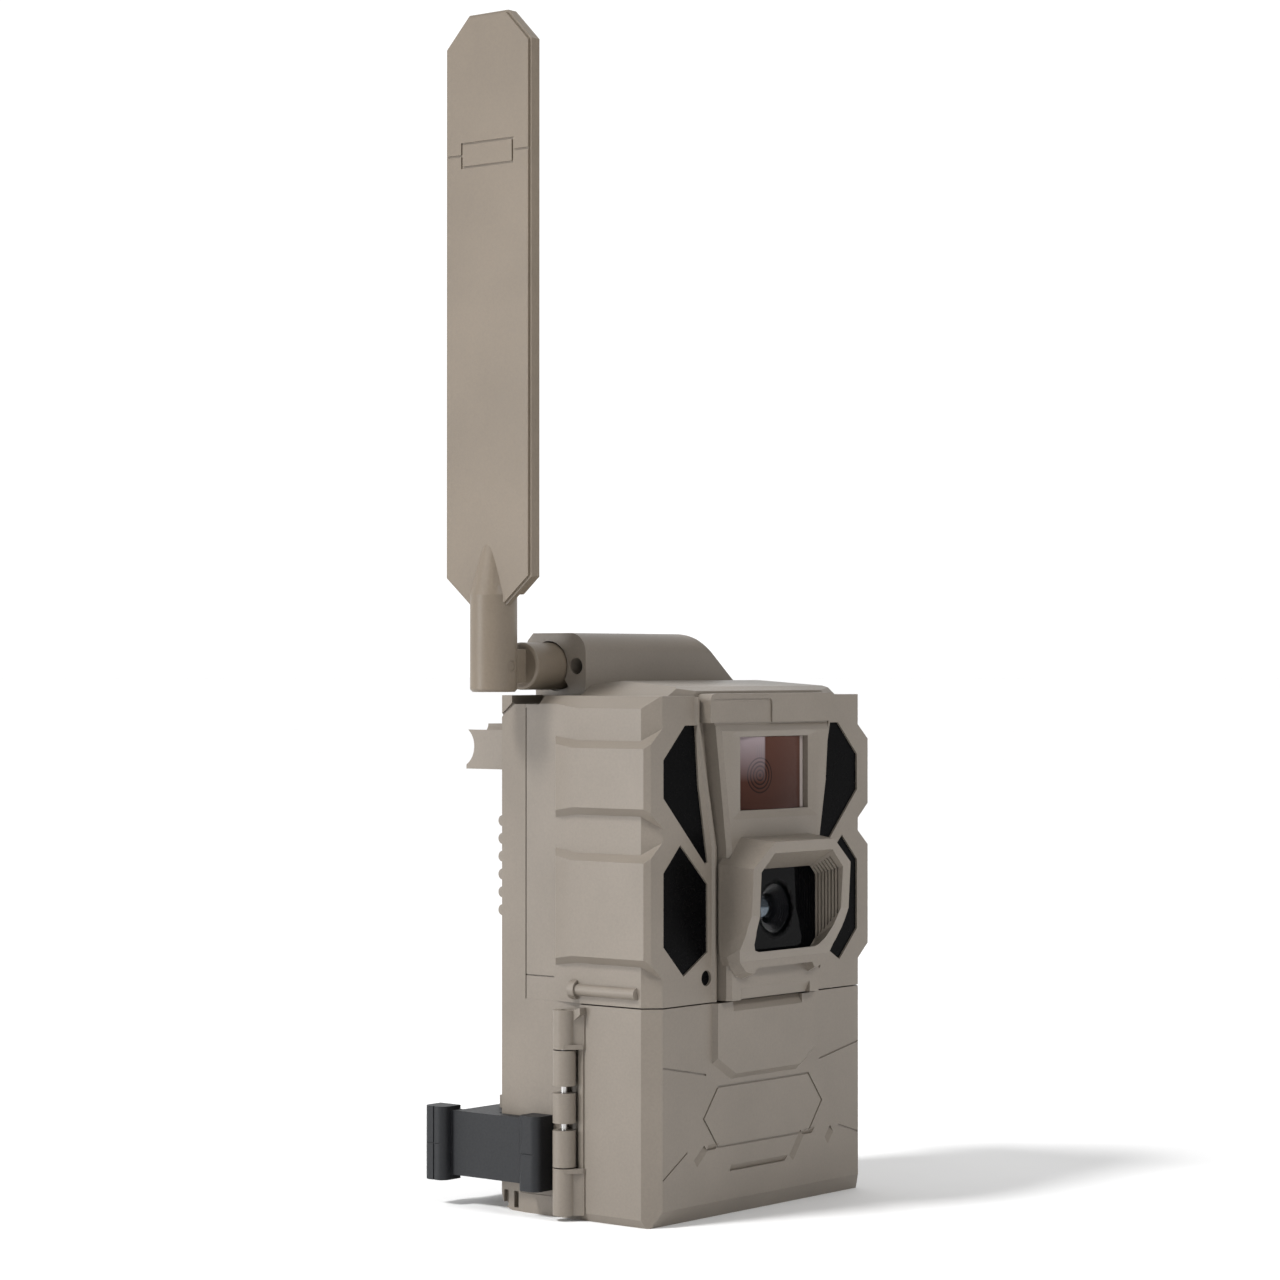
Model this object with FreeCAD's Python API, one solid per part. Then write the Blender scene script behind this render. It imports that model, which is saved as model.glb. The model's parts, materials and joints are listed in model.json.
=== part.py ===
import FreeCAD, Part
import math
import os

# Trail camera. Millimetres. +Z up, the front looks towards -Y, +X is to the right seen from the front.
# Origin: centre of the case's flat underside.

os.makedirs("parts", exist_ok=True)

# ---- driving dimensions: case ----
CASE_TOP = 141.0          # top of the case's shoulders
SEAM_Z = 58.35            # underside of the upper housing, where the battery door ends
DOOR_TOP = 58.0
WALL = 2.5
FRONT_Y = -28.0           # flat front of the case
BACK_Y = 27.7             # flat back of the case
SPLIT_Y = 18.0            # joint between the front and rear housings
DOOR_BACK_Y = -2.4        # rear edge of the door
REAR_FRONT_Y = -2.0       # front edge of the rear housing's lower half
FRONT_HALF = 44.1         # half width of the flat front
ARMOUR_HALF = 48.0        # half width at the side armour
ARMOUR_FRONT_Y = -23.8
ARMOUR_REAR_Y = -1.8
SIDE_HALF = 46.8          # half width at the plain side panel
SIDE_FRONT_Y = 7.2
BACK_HALF = 45.6
RAISED_HALF = 50.4        # half width at the raised armour panels
RAISED_FRONT_HALF = 48.9
RAISED_FRONT_Y = -26.6
RAISED_REAR = (49.2, 5.1)  # where a raised panel's rear facet ends
RAISED_BANDS = [(109.1, 129.1), (69.2, 98.9)]
RAISED_SLOPE = 0.85       # rise of a band's sloped end per mm of width
SHOULDER_Z = 137.7
SHOULDER_HALF = 44.4

# ---- driving dimensions: centre column, lens and sensor windows ----
COLUMN_FACE_Y = -32.2
COLUMN_CHAMFER = 1.1
COLUMN_BACK_Y = -26.8
HEADER_Y = -31.6
HEADER_Z = 133.7
HEADER_HALF = 28.1
COLUMN_TOP_HALF = 26.5
COLUMN_HALF = 20.7
COLUMN_KNEE_Z = 100.0
COLUMN_GAP = 1.1
RIM_WIDTH = 1.0           # raised rim of the front housing beside the column
RIM_HEIGHT = 0.7
LENS_Z = 82.6
PIR_Z = 119.8
PIR_HALF = 15.3
PIR_HALF_HEIGHT = 10.0
PIR_BEVEL = 0.5
SENSOR_X = 25.4           # light sensor at the left, microphone at the right
SENSOR_Z = 65.0
GLASS_Y = -33.0
GLASS_THICK = 1.2
HOOD_FRONT_Y = -43.0
LENS_BORE = 4.2

# ---- driving dimensions: battery compartment ----
CELL_R = 7.1
CELL_PITCH = 14.8
TRAY_LEFT = -22.0
TRAY_RIGHT = 39.6
TRAY_FRONT_Y = -7.2
TRAY_BACK_Y = 24.8
TRAY_BOTTOM = 3.0
TRAY_TOP = 55.1
PANEL_LEFT = -43.2
PANEL_RIGHT = -23.2
PANEL_Y = -7.5

# ---- driving dimensions: hinge, latch and antenna ----
HINGE_X = -50.3
HINGE_Y = 1.0
HINGE_R = 3.15
HINGE_PIN_R = 0.9
KNUCKLE_LOW = 14.15
KNUCKLE_HIGH = 46.15
LATCH_X = 50.9
LATCH_Y = 7.2
LATCH_R = 2.7
LATCH_PIN_R = 1.0
LATCH_LOW = 32.5          # underside of the lever
LATCH_HIGH = 50.5
LATCH_EAR = 3.2           # height of each ear that holds the latch pin
JACK_X = -37.5            # external power jack, in the case's underside
JACK_Y = 12.0
SWIVEL_Y = 20.0
SWIVEL_Z = 149.0
SLEEVE_R = 6.5
SLEEVE_END_X = -47.1
ELBOW_X = -57.6
ELBOW_R = 6.4
BLADE_X = -58.0
BLADE_THICK = 4.7
BLADE_HALF = 15.4
BLADE_BOTTOM = 165.5
BLADE_TOP = 326.0
RUN_GAP = 0.06            # radial clearance of a running fit


def vec(x, y, z):
    return FreeCAD.Vector(x, y, z)


def box(x0, x1, y0, y1, z0, z1):
    return Part.makeBox(x1 - x0, y1 - y0, z1 - z0, vec(x0, y0, z0))


def cyl(axis, x, y, z, radius, length):
    """A cylinder from the point x, y, z along +axis."""
    direction = {"x": vec(1, 0, 0), "y": vec(0, 1, 0), "z": vec(0, 0, 1)}[axis]
    return Part.makeCylinder(radius, length, vec(x, y, z), direction)


def face_of(points):
    return Part.Face(Part.makePolygon(points + points[:1]))


def prism_z(points, z0, z1):
    return face_of([vec(x, y, z0) for x, y in points]).extrude(vec(0, 0, z1 - z0))


def prism_y(points, y0, y1):
    return face_of([vec(x, y0, z) for x, z in points]).extrude(vec(0, y1 - y0, 0))


def prism_x(points, x0, x1):
    return face_of([vec(x0, y, z) for y, z in points]).extrude(vec(x1 - x0, 0, 0))


def loft_y(near, y_near, far, y_far):
    """A straight-sided solid between two outlines in X and Z with the same number of points."""
    wires = []
    for outline, y in ((near, y_near), (far, y_far)):
        points = [vec(x, y, z) for x, z in outline]
        wires.append(Part.makePolygon(points + points[:1]))
    return Part.makeLoft(wires, True, True)


def both_sides(points):
    """The right half of an outline, listed bottom to top, closed with its mirror image."""
    return points + [(-x, z) for x, z in reversed(points)]


def mirror_x(shape):
    return shape.mirror(vec(0, 0, 0), vec(1, 0, 0))


def join(shapes):
    return shapes[0].multiFuse(shapes[1:]).removeSplitter() if len(shapes) > 1 else shapes[0]


def save(name, shape):
    shape.exportStep("parts/" + name + ".step")


def save_group(name, solids):
    save(name, Part.makeCompound(solids))


# ---------------------------------------------------------------- case shells

def armour_outline(half, front_half, front_y, rear=()):
    right = [(front_half, FRONT_Y), (half, front_y), (half, ARMOUR_REAR_Y)]
    right += list(rear) + [(SIDE_HALF, SIDE_FRONT_Y), (SIDE_HALF, SPLIT_Y)]
    return right + [(-x, y) for x, y in reversed(right)]


def raised_band(low, high):
    """One raised armour band, with ends that slope down to the base armour."""
    out = RAISED_HALF - ARMOUR_HALF
    inset = ARMOUR_HALF - FRONT_HALF
    right = [(FRONT_HALF, low - inset * RAISED_SLOPE), (RAISED_HALF, low + out * RAISED_SLOPE)]
    right += [(RAISED_HALF, high - out * RAISED_SLOPE), (FRONT_HALF, high + inset * RAISED_SLOPE)]
    outline = armour_outline(RAISED_HALF, RAISED_FRONT_HALF, RAISED_FRONT_Y, [RAISED_REAR])
    slab = prism_z(outline, SEAM_Z, CASE_TOP)
    return slab.common(prism_y(both_sides(right), FRONT_Y, SPLIT_Y))


def shoulder_profile(z0, grow):
    right = [(ARMOUR_HALF + grow, z0), (ARMOUR_HALF + grow, SHOULDER_Z), (SHOULDER_HALF + grow, CASE_TOP)]
    return both_sides(right)


def column_half(z):
    if z <= COLUMN_KNEE_Z:
        return COLUMN_HALF
    part = (z - COLUMN_KNEE_Z) / (CASE_TOP - COLUMN_KNEE_Z)
    return COLUMN_HALF + part * (COLUMN_TOP_HALF - COLUMN_HALF)


def column_outline(grow, low, high):
    right = [(COLUMN_HALF + grow, low), (COLUMN_HALF + grow, COLUMN_KNEE_Z), (column_half(high) + grow, high)]
    return both_sides(right)


def recess_outline(grow):
    """Outline of the case's recess for the column, which widens to the header at its top."""
    right = [(COLUMN_HALF + grow, SEAM_Z - 1), (COLUMN_HALF + grow, COLUMN_KNEE_Z)]
    right += [(HEADER_HALF + grow, HEADER_Z), (HEADER_HALF + grow, CASE_TOP + 4)]
    return both_sides(right)


UPPER_WINDOW = [(43.7, 124.0), (34.6, 133.1), (30.0, 133.1), (28.7, 116.9), (24.8, 96.2), (26.0, 95.8), (43.7, 113.9)]
LOWER_WINDOW = [(36.5, 101.3), (24.9, 90.3), (24.9, 72.0), (35.2, 66.1), (43.7, 74.4), (43.7, 94.0)]


def scaled(points, inset):
    """The outline moved in by about the inset, towards its centre."""
    wire = Part.makePolygon([vec(x, 0, z) for x, z in points + points[:1]])
    moved = wire.makeOffset2D(-inset, 2, False, False)
    return [(v.X, v.Z) for v in moved.OrderedVertexes]


def ir_window(points):
    """A dark window: a plate that fills its opening and a wider flange glued behind it."""
    plate = prism_y(scaled(points, 0.12), FRONT_Y + 0.5, FRONT_Y + WALL)
    flange = prism_y(scaled(points, -1.2), FRONT_Y + WALL, FRONT_Y + WALL + 1.0)
    return join([plate, flange])


def deck():
    """The raised deck on top of the front housing: wide sloped sides and a top that falls to the front."""
    low = [(-38.0, 6.2), (-38.0, -24.6), (-28.6, -27.2), (28.6, -27.2), (38.0, -24.6), (38.0, 6.2)]
    high = [(-30.2, 6.2), (-30.2, -24.9), (-28.0, -25.6), (28.0, -25.6), (30.2, -24.9), (30.2, 6.2)]
    wires = []
    for outline, z in ((low, CASE_TOP - 0.2), (high, CASE_TOP + 4.2)):
        points = [vec(x, y, z) for x, y in outline]
        wires.append(Part.makePolygon(points + points[:1]))
    above = [(7.0, CASE_TOP + 2.6), (-2.6, CASE_TOP + 4.0), (-23.4, CASE_TOP + 2.5), (-28.0, CASE_TOP + 0.8)]
    above += [(-28.0, CASE_TOP + 5), (7.0, CASE_TOP + 5)]
    return Part.makeLoft(wires, True, True).cut(prism_x(above, -40, 40))


def column_rim():
    """The raised rim beside each side of the centre column, with sloped flanks."""
    low = recess_outline(COLUMN_GAP + RIM_WIDTH + 0.3)
    high = recess_outline(COLUMN_GAP + RIM_WIDTH - 0.3)
    return loft_y(low, FRONT_Y, high, FRONT_Y - RIM_HEIGHT).common(box(-40, 40, -30, -20, SEAM_Z, CASE_TOP - 0.3))


SCREW_SPOTS = [(x, z) for x in (-41.0, 41.0) for z in (65.0, 133.0)]
PLATE_SCREWS = [(-20.0, 126.8), (20.0, 126.8), (-20.0, 19.0), (20.0, 19.0)]


# The slot under the antenna's sleeve, and the walls that close it off from the inside.
NOTCH = box(-48.5, -33.5, 13.0, 23.6, 138.6, CASE_TOP + 1)
NOTCH_WALLS = box(-48.5, -31.0, 10.5, BACK_Y + 1, 136.1, CASE_TOP + 1)


def front_housing():
    base = prism_z(armour_outline(ARMOUR_HALF, FRONT_HALF, ARMOUR_FRONT_Y), SEAM_Z, CASE_TOP)
    shell = join([base.common(prism_y(shoulder_profile(SEAM_Z, 0), FRONT_Y, SPLIT_Y))]
                 + [raised_band(low, high) for low, high in RAISED_BANDS] + [deck(), column_rim()])
    inner = [(FRONT_HALF - 2.6, FRONT_Y + WALL), (ARMOUR_HALF - WALL, ARMOUR_FRONT_Y + 1.5),
             (ARMOUR_HALF - WALL, ARMOUR_REAR_Y), (SIDE_HALF - WALL, SIDE_FRONT_Y), (SIDE_HALF - WALL, SPLIT_Y + 1)]
    hollow = prism_z(inner + [(-x, y) for x, y in reversed(inner)], SEAM_Z + WALL, CASE_TOP - WALL)
    hollow = hollow.common(prism_y(shoulder_profile(SEAM_Z, -WALL), FRONT_Y, SPLIT_Y + 1))
    shell = shell.cut(hollow.cut(NOTCH_WALLS))
    bosses = [cyl("y", x, -25.6, z, 3.0, 43.6) for x, z in SCREW_SPOTS]
    shell = join([shell] + bosses)
    cuts = [prism_y(recess_outline(COLUMN_GAP), FRONT_Y - 1, COLUMN_BACK_Y)]
    for points in (UPPER_WINDOW, LOWER_WINDOW):
        hole = prism_y(points, FRONT_Y - 1, FRONT_Y + WALL + 0.2)
        seat = prism_y(scaled(points, -1.3), FRONT_Y + WALL, FRONT_Y + WALL + 1.2)
        cuts += [hole, mirror_x(hole), seat, mirror_x(seat)]
    cuts.append(box(-PIR_HALF, PIR_HALF, -28, -24, PIR_Z - PIR_HALF_HEIGHT, PIR_Z + PIR_HALF_HEIGHT))
    cuts.append(cyl("y", 0, -28, LENS_Z, 11.0, 4))
    cuts.append(cyl("y", -SENSOR_X, -29, SENSOR_Z, 2.1, 4))
    cuts.append(cyl("y", SENSOR_X, -29, SENSOR_Z, 0.8, 4))
    cuts += [box(-24, 0, 10, 17, CASE_TOP - 3, CASE_TOP + 1), NOTCH, housing_gasket()]
    cuts += [cyl("y", x, -2, z, 1.25, SPLIT_Y + 3) for x, z in SCREW_SPOTS]
    cuts.append(box(-47.2, -46.2, SIDE_FRONT_Y + 0.5, SPLIT_Y + 1, 64.7, 65.0))
    for left in (-SIDE_HALF - 0.2, SIDE_HALF - 0.3):
        cuts.append(box(left, left + 0.5, SPLIT_Y - 0.35, SPLIT_Y + 0.1, SEAM_Z - 1, SHOULDER_Z))
    return join([shell.cut(Part.makeCompound(cuts)), side_rib()])


def side_rib():
    """The small round rib low on the left armour panel, with its head."""
    rib = cyl("y", -48.0, -22.4, 62.0, 1.6, 20.6)
    head = cyl("y", -47.6, -1.8, 62.0, 2.6, 2.2)
    keep = box(-52, -45.7, -23, 1, 59, 65)
    return join([rib, head]).common(keep)


def rear_outline(front_y):
    right = [(SIDE_HALF, front_y), (SIDE_HALF, SPLIT_Y), (BACK_HALF, BACK_Y)]
    return right + [(-x, y) for x, y in reversed(right)]


def case_knuckles():
    """Three hinge knuckles, with two gaps where the pin shows."""
    solids = []
    for low, high in ((KNUCKLE_LOW + 0.35, 24.3), (26.3, 34.3), (36.3, KNUCKLE_HIGH - 0.35)):
        barrel = cyl("z", HINGE_X, HINGE_Y, low, HINGE_R, high - low)
        web = box(HINGE_X, -SIDE_HALF + 0.5, HINGE_Y + 0.4, HINGE_Y + HINGE_R, low, high)
        solids += [barrel, web]
    low = KNUCKLE_LOW + 0.35
    high = KNUCKLE_HIGH - 0.35
    solids.append(box(-48.6, -SIDE_HALF + 0.5, HINGE_Y + 1.2, HINGE_Y + HINGE_R, low, high))
    return join(solids)


def latch_ears():
    solids = []
    for low in (LATCH_LOW - 0.3 - LATCH_EAR, LATCH_HIGH + 0.3):
        high = low + LATCH_EAR
        barrel = cyl("z", LATCH_X, LATCH_Y, low, LATCH_R, high - low)
        solids += [barrel, box(SIDE_HALF - 0.5, LATCH_X, LATCH_Y - LATCH_R, LATCH_Y + LATCH_R, low, high)]
    return join(solids)


def rear_housing():
    lower = prism_z(rear_outline(REAR_FRONT_Y), 0, SEAM_Z)
    upper = prism_z(rear_outline(SPLIT_Y), SEAM_Z - 1, CASE_TOP)
    shell = join([lower, upper])
    toe = [(BACK_Y - 4.6, -0.1), (BACK_Y + 0.1, -0.1), (BACK_Y + 0.1, 5.0)]
    toe += [(BACK_Y - 0.6, 2.4), (BACK_Y - 2.2, 0.7)]
    shell = shell.cut(prism_x(toe, -60, 60))
    lip = box(-45.1, 45.1, -4.5, REAR_FRONT_Y, 2.9, 55.1)
    shell = join([shell, lip, case_knuckles(), latch_ears()])
    cuts = [box(-43.6, 43.6, -5, BACK_Y - WALL, WALL, 55.9)]
    upper_hollow = box(-44.3, 44.3, SPLIT_Y - 1, BACK_Y - WALL, SEAM_Z + WALL, CASE_TOP - WALL)
    cuts += [upper_hollow.cut(NOTCH_WALLS), NOTCH]
    cuts.append(cyl("z", HINGE_X, HINGE_Y, 0, HINGE_PIN_R + 0.02, 60))
    cuts.append(cyl("z", LATCH_X, LATCH_Y, LATCH_LOW - 5, LATCH_PIN_R + 0.02, 30))
    for left in (-48.0, 44.5):
        cuts += [box(left, left + 3.5, y, y + 1.8, 0.9, 5.4) for y in (20.8, 24.9)]
    cuts += [box(left, left + 0.8, 8.5, 20.0, 5.3, 5.6) for left in (-SIDE_HALF - 0.4, SIDE_HALF - 0.4)]
    groove = [(22.4, 138.6), (BACK_Y + 1, 134.4), (BACK_Y + 1, 135.2), (23.4, 139.1)]
    cuts.append(prism_x(groove, -48.5, -45.2))
    cuts.append(cyl("z", JACK_X, JACK_Y, -1, 4.2, 4))
    shell = shell.cut(Part.makeCompound(cuts)).cut(door_gasket())
    bosses = [cyl("y", x, SPLIT_Y, z, 3.9, BACK_Y - 1 - SPLIT_Y) for x, z in SCREW_SPOTS]
    insert_boss = cyl("y", 0, SPLIT_Y, 76, 7.0, BACK_Y - 1 - SPLIT_Y)
    shell = join([shell, insert_boss] + bosses)
    holes = [cyl("y", x, SPLIT_Y - 1, z, 1.6, 12) for x, z in SCREW_SPOTS]
    holes += [cyl("y", x, BACK_Y - 3.2, z, 3.0, 4) for x, z in SCREW_SPOTS]
    holes.append(cyl("y", 0, BACK_Y - 9, 76, 4.5, 10))
    holes += [cyl("y", x, BACK_Y - 3, z, 1.3, 4) for x, z in PLATE_SCREWS]
    return join([shell.cut(Part.makeCompound(holes))] + grip_teeth())


# ---------------------------------------------------------------- antenna mount on the left shoulder

HUMP_LEFT = -35.0
HUMP_TOP = 158.1
HUMP_FRONT_Y = 6.5


HUMP_ROUND = 5.5


def hump_solid(grow):
    """The hump on top of the case, shrunk by -grow on its sides for the hollow."""
    front = HUMP_FRONT_Y - grow
    top = HUMP_TOP + grow
    knee = vec(-60, front, top - HUMP_ROUND)
    crown = vec(-60, front + HUMP_ROUND, top)
    middle = vec(-60, front + HUMP_ROUND * (1 - math.sqrt(0.5)), top - HUMP_ROUND * (1 - math.sqrt(0.5)))
    back = BACK_Y + grow
    corners = [crown, vec(-60, back, top), vec(-60, back, CASE_TOP), vec(-60, front, CASE_TOP), knee]
    side = Part.Wire([Part.Arc(knee, middle, crown).toShape()] + Part.makePolygon(corners).Edges)
    profile = [(HUMP_LEFT - grow, CASE_TOP), (HUMP_LEFT - grow, top), (14.0, top),
               (31.5 + grow, CASE_TOP + 3.2), (34.7 + grow, CASE_TOP)]
    block = prism_y(profile, front, back)
    crest = [e for e in block.Edges if abs(e.BoundBox.XMin - 14.0) < 0.01 and e.BoundBox.XLength < 0.01]
    return block.makeFillet(9.0, crest).common(Part.Face(side).extrude(vec(120, 0, 0)))


def hump_seam():
    """A fine curved groove across the hump's rounded front."""
    line = [(-28.2, HUMP_TOP + 1), (-27.6, 154.0), (-25.6, 150.0), (-22.2, 147.2)]
    line += [(-17.6, 145.6), (-12.0, 145.0)]
    band = line + [(x + 0.35, z - 0.35) for x, z in reversed(line)]
    return prism_y(band, 0, SWIVEL_Y).cut(hump_solid(-0.35))


def antenna_mount():
    shell = hump_solid(0)
    corner = [(BACK_Y - 2.2, HUMP_TOP + 0.1), (BACK_Y + 0.1, HUMP_TOP + 0.1), (BACK_Y + 0.1, HUMP_TOP - 2.2)]
    hollow = hump_solid(-2.4).common(box(-25.0, 40, 0, 40, CASE_TOP - 1, HUMP_TOP))
    under = [(12.6, CASE_TOP - 1), (12.6, 143.0), (15.2, 147.0)]
    under += [(BACK_Y + 1, 147.0), (BACK_Y + 1, CASE_TOP - 1)]
    cuts = [prism_x(corner, -40, 40), hollow, prism_x(under, -36, -31.5), hump_seam()]
    cuts.append(cyl("x", -36, SWIVEL_Y, SWIVEL_Z, SLEEVE_R + 0.4, 6.2))
    cuts.append(cyl("x", -31, SWIVEL_Y, SWIVEL_Z, 4.5 + RUN_GAP, 8))
    cuts.append(cyl("x", -36, 9.9, SWIVEL_Z, 2.25, 9))
    for cut in cuts:
        shell = shell.cut(cut)
    return shell


def antenna_base():
    """The swivelling sleeve, with its shaft in the mount and the tongue of the elbow."""
    sleeve = cyl("x", SLEEVE_END_X, SWIVEL_Y, SWIVEL_Z, SLEEVE_R, 16.5)
    sleeve = sleeve.makeChamfer(0.6, [e for e in sleeve.Edges if abs(e.BoundBox.XMin - SLEEVE_END_X) < 0.01
                                      and e.BoundBox.XLength < 0.01])
    shaft = cyl("x", -30.7, SWIVEL_Y, SWIVEL_Z, 4.5, 9.5)
    tongue = box(ELBOW_X, SLEEVE_END_X + 1, SWIVEL_Y - 2.3, SWIVEL_Y + 2.3, SWIVEL_Z - 4.6, SWIVEL_Z + 4.6)
    eye = cyl("y", ELBOW_X, SWIVEL_Y - 2.3, SWIVEL_Z, 4.6, 4.6)
    solid = join([sleeve, shaft, tongue, eye])
    groove = cyl("x", -24.0, SWIVEL_Y, SWIVEL_Z, 6, 1.2).cut(cyl("x", -24.1, SWIVEL_Y, SWIVEL_Z, 3.7, 1.4))
    bore = cyl("x", -46.0, SWIVEL_Y, SWIVEL_Z, 1.6, 26)
    pin_hole = cyl("y", ELBOW_X, 10, SWIVEL_Z, 1.5 + RUN_GAP, 20)
    return solid.cut(Part.makeCompound([groove, bore, pin_hole]))


def swivel_clip():
    ring = cyl("x", -23.95, SWIVEL_Y, SWIVEL_Z, 5.0, 1.1).cut(cyl("x", -24.1, SWIVEL_Y, SWIVEL_Z, 3.72, 1.4))
    return ring.cut(box(-25, -22, SWIVEL_Y - 1.6, SWIVEL_Y + 1.6, SWIVEL_Z - 8, SWIVEL_Z))


def blade_outline(inset):
    """Outline of the blade in Y and Z, moved in by the inset."""
    half = BLADE_HALF - inset
    right = [(6.5 - inset * 0.4, BLADE_BOTTOM + inset), (half, 173.0 + inset * 0.5)]
    right += [(half, 317.5 - inset * 0.5), (7.0 - inset * 0.4, BLADE_TOP - inset)]
    return [(SWIVEL_Y + y, z) for y, z in right] + [(SWIVEL_Y - y, z) for y, z in reversed(right)]


def antenna_mast():
    """The elbow's fork, the cone and the outer half of the blade, moulded in one."""
    fork = cyl("z", ELBOW_X, SWIVEL_Y, 142.0, ELBOW_R, 26.3)
    fork = fork.makeChamfer(0.7, [e for e in fork.Edges if e.BoundBox.ZMax < 142.1])
    cone = Part.makeCone(ELBOW_R, 0.8, 21.0, vec(ELBOW_X, SWIVEL_Y, 168.3), vec(0, 0, 1))
    outer = prism_x(blade_outline(0), BLADE_X - BLADE_THICK / 2, BLADE_X)
    bevel = prism_x(blade_outline(0.7), BLADE_X - BLADE_THICK / 2 - 0.01, BLADE_X - BLADE_THICK / 2 + 0.7)
    rim = prism_x(blade_outline(-1), BLADE_X - BLADE_THICK / 2 - 0.01, BLADE_X - BLADE_THICK / 2 + 0.7)
    outer = outer.cut(rim.cut(bevel))
    pocket = prism_x(blade_outline(2.2), BLADE_X - 0.85, BLADE_X + 0.1).common(box(-70, -50, 0, 40, 192, 330))
    solid = join([fork, cone, outer.cut(pocket)])
    slot = box(ELBOW_X - 5.0, ELBOW_X + 8, SWIVEL_Y - 2.65, SWIVEL_Y + 2.65, 141, SWIVEL_Z + 5.0)
    pin_hole = cyl("y", ELBOW_X, 10, SWIVEL_Z, 1.5, 20)
    inner_side = prism_x(blade_outline(-1), BLADE_X, BLADE_X + 8).common(box(-70, -50, 0, 40, 168.3, 330))
    accent = blade_accent(BLADE_X - BLADE_THICK / 2)
    return solid.cut(Part.makeCompound([slot, pin_hole])).cut(inner_side).cut(accent)


def blade_accent(x):
    """A plain double groove across the blade, with a smooth rounded pad between its ends."""
    solids = [box(x - 0.1, x + 0.35, SWIVEL_Y - 16, SWIVEL_Y - 9.5, 287.6, 288.2)]
    solids.append(box(x - 0.1, x + 0.35, SWIVEL_Y + 9.5, SWIVEL_Y + 16, 287.6, 288.2))
    pad = prism_x([(SWIVEL_Y - 9.5, 284.4), (SWIVEL_Y + 9.5, 284.4), (SWIVEL_Y + 9.5, 291.4),
                   (SWIVEL_Y - 9.5, 291.4)], x - 0.1, x + 0.35)
    island = prism_x([(SWIVEL_Y - 8.9, 285.0), (SWIVEL_Y + 8.9, 285.0), (SWIVEL_Y + 8.9, 290.8),
                      (SWIVEL_Y - 8.9, 290.8)], x - 0.2, x + 0.5)
    solids.append(pad.cut(island))
    return Part.makeCompound(solids)


def antenna_back_shell():
    inner = prism_x(blade_outline(0), BLADE_X, BLADE_X + BLADE_THICK / 2)
    face = BLADE_X + BLADE_THICK / 2
    rim = prism_x(blade_outline(-1), face - 0.7, face + 0.01)
    rim = rim.cut(prism_x(blade_outline(0.7), face - 0.8, face + 0.1))
    pocket = prism_x(blade_outline(2.2), BLADE_X - 0.1, BLADE_X + 0.85).common(box(-70, -50, 0, 40, 192, 330))
    keep = box(-70, -50, 0, 40, 168.3, 330)
    root = cyl("z", ELBOW_X, SWIVEL_Y, 160, ELBOW_R, 8.3)
    cone = Part.makeCone(ELBOW_R, 0.8, 21.0, vec(ELBOW_X, SWIVEL_Y, 168.3), vec(0, 0, 1))
    half_cone = cone.common(box(BLADE_X, -50, 0, 40, 168.3, 200))
    shell = join([inner.cut(rim).common(keep), half_cone]).cut(root).cut(pocket)
    return shell


def antenna_radiator():
    return prism_x(blade_outline(3.0), BLADE_X - 0.4, BLADE_X + 0.4).common(box(-70, -50, 0, 40, 193, 330))


def bent_tube(points, radius):
    """A tube along straight runs joined by tangent arcs that are as large as the runs allow."""
    edges = []
    last = points[0]
    for here, corner, after in zip(points, points[1:], points[2:]):
        back = (here - corner).normalize()
        forth = (after - corner).normalize()
        reach = 0.45 * min((here - corner).Length, (after - corner).Length)
        bisector = (back + forth).normalize()
        half_angle = back.getAngle(forth) / 2
        bend = reach * math.tan(half_angle)
        centre = corner + bisector * (reach / math.cos(half_angle))
        start = corner + back * reach
        end = corner + forth * reach
        edges.append(Part.LineSegment(last, start).toShape())
        edges.append(Part.Arc(start, centre - bisector * bend, end).toShape())
        last = end
    edges.append(Part.LineSegment(last, points[-1]).toShape())
    path = Part.Wire(edges)
    start_dir = points[1] - points[0]
    section = Part.Wire(Part.makeCircle(radius, points[0], start_dir))
    return path.makePipeShell([section], True, True)


def antenna_lead():
    """The coaxial lead from the board up into the swivel, clipped inside the mount."""
    route = [vec(-6.0, 12.5, 112.0), vec(-6.0, 12.5, 140.0), vec(-7.5, SWIVEL_Y, SWIVEL_Z)]
    route.append(vec(-19.6, SWIVEL_Y, SWIVEL_Z))
    return bent_tube(route, 0.9)


def lead_connector():
    body = cyl("x", -19.6, SWIVEL_Y, SWIVEL_Z, 2.2, 3.0)
    plate = box(-17.5, -16.7, SWIVEL_Y - 5, BACK_Y - 2.4, SWIVEL_Z - 4.5, SWIVEL_Z + 4.5)
    return join([body, plate]).cut(cyl("x", -20, SWIVEL_Y, SWIVEL_Z, 0.92, 5))


# ---------------------------------------------------------------- centre column, hood and windows

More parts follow.
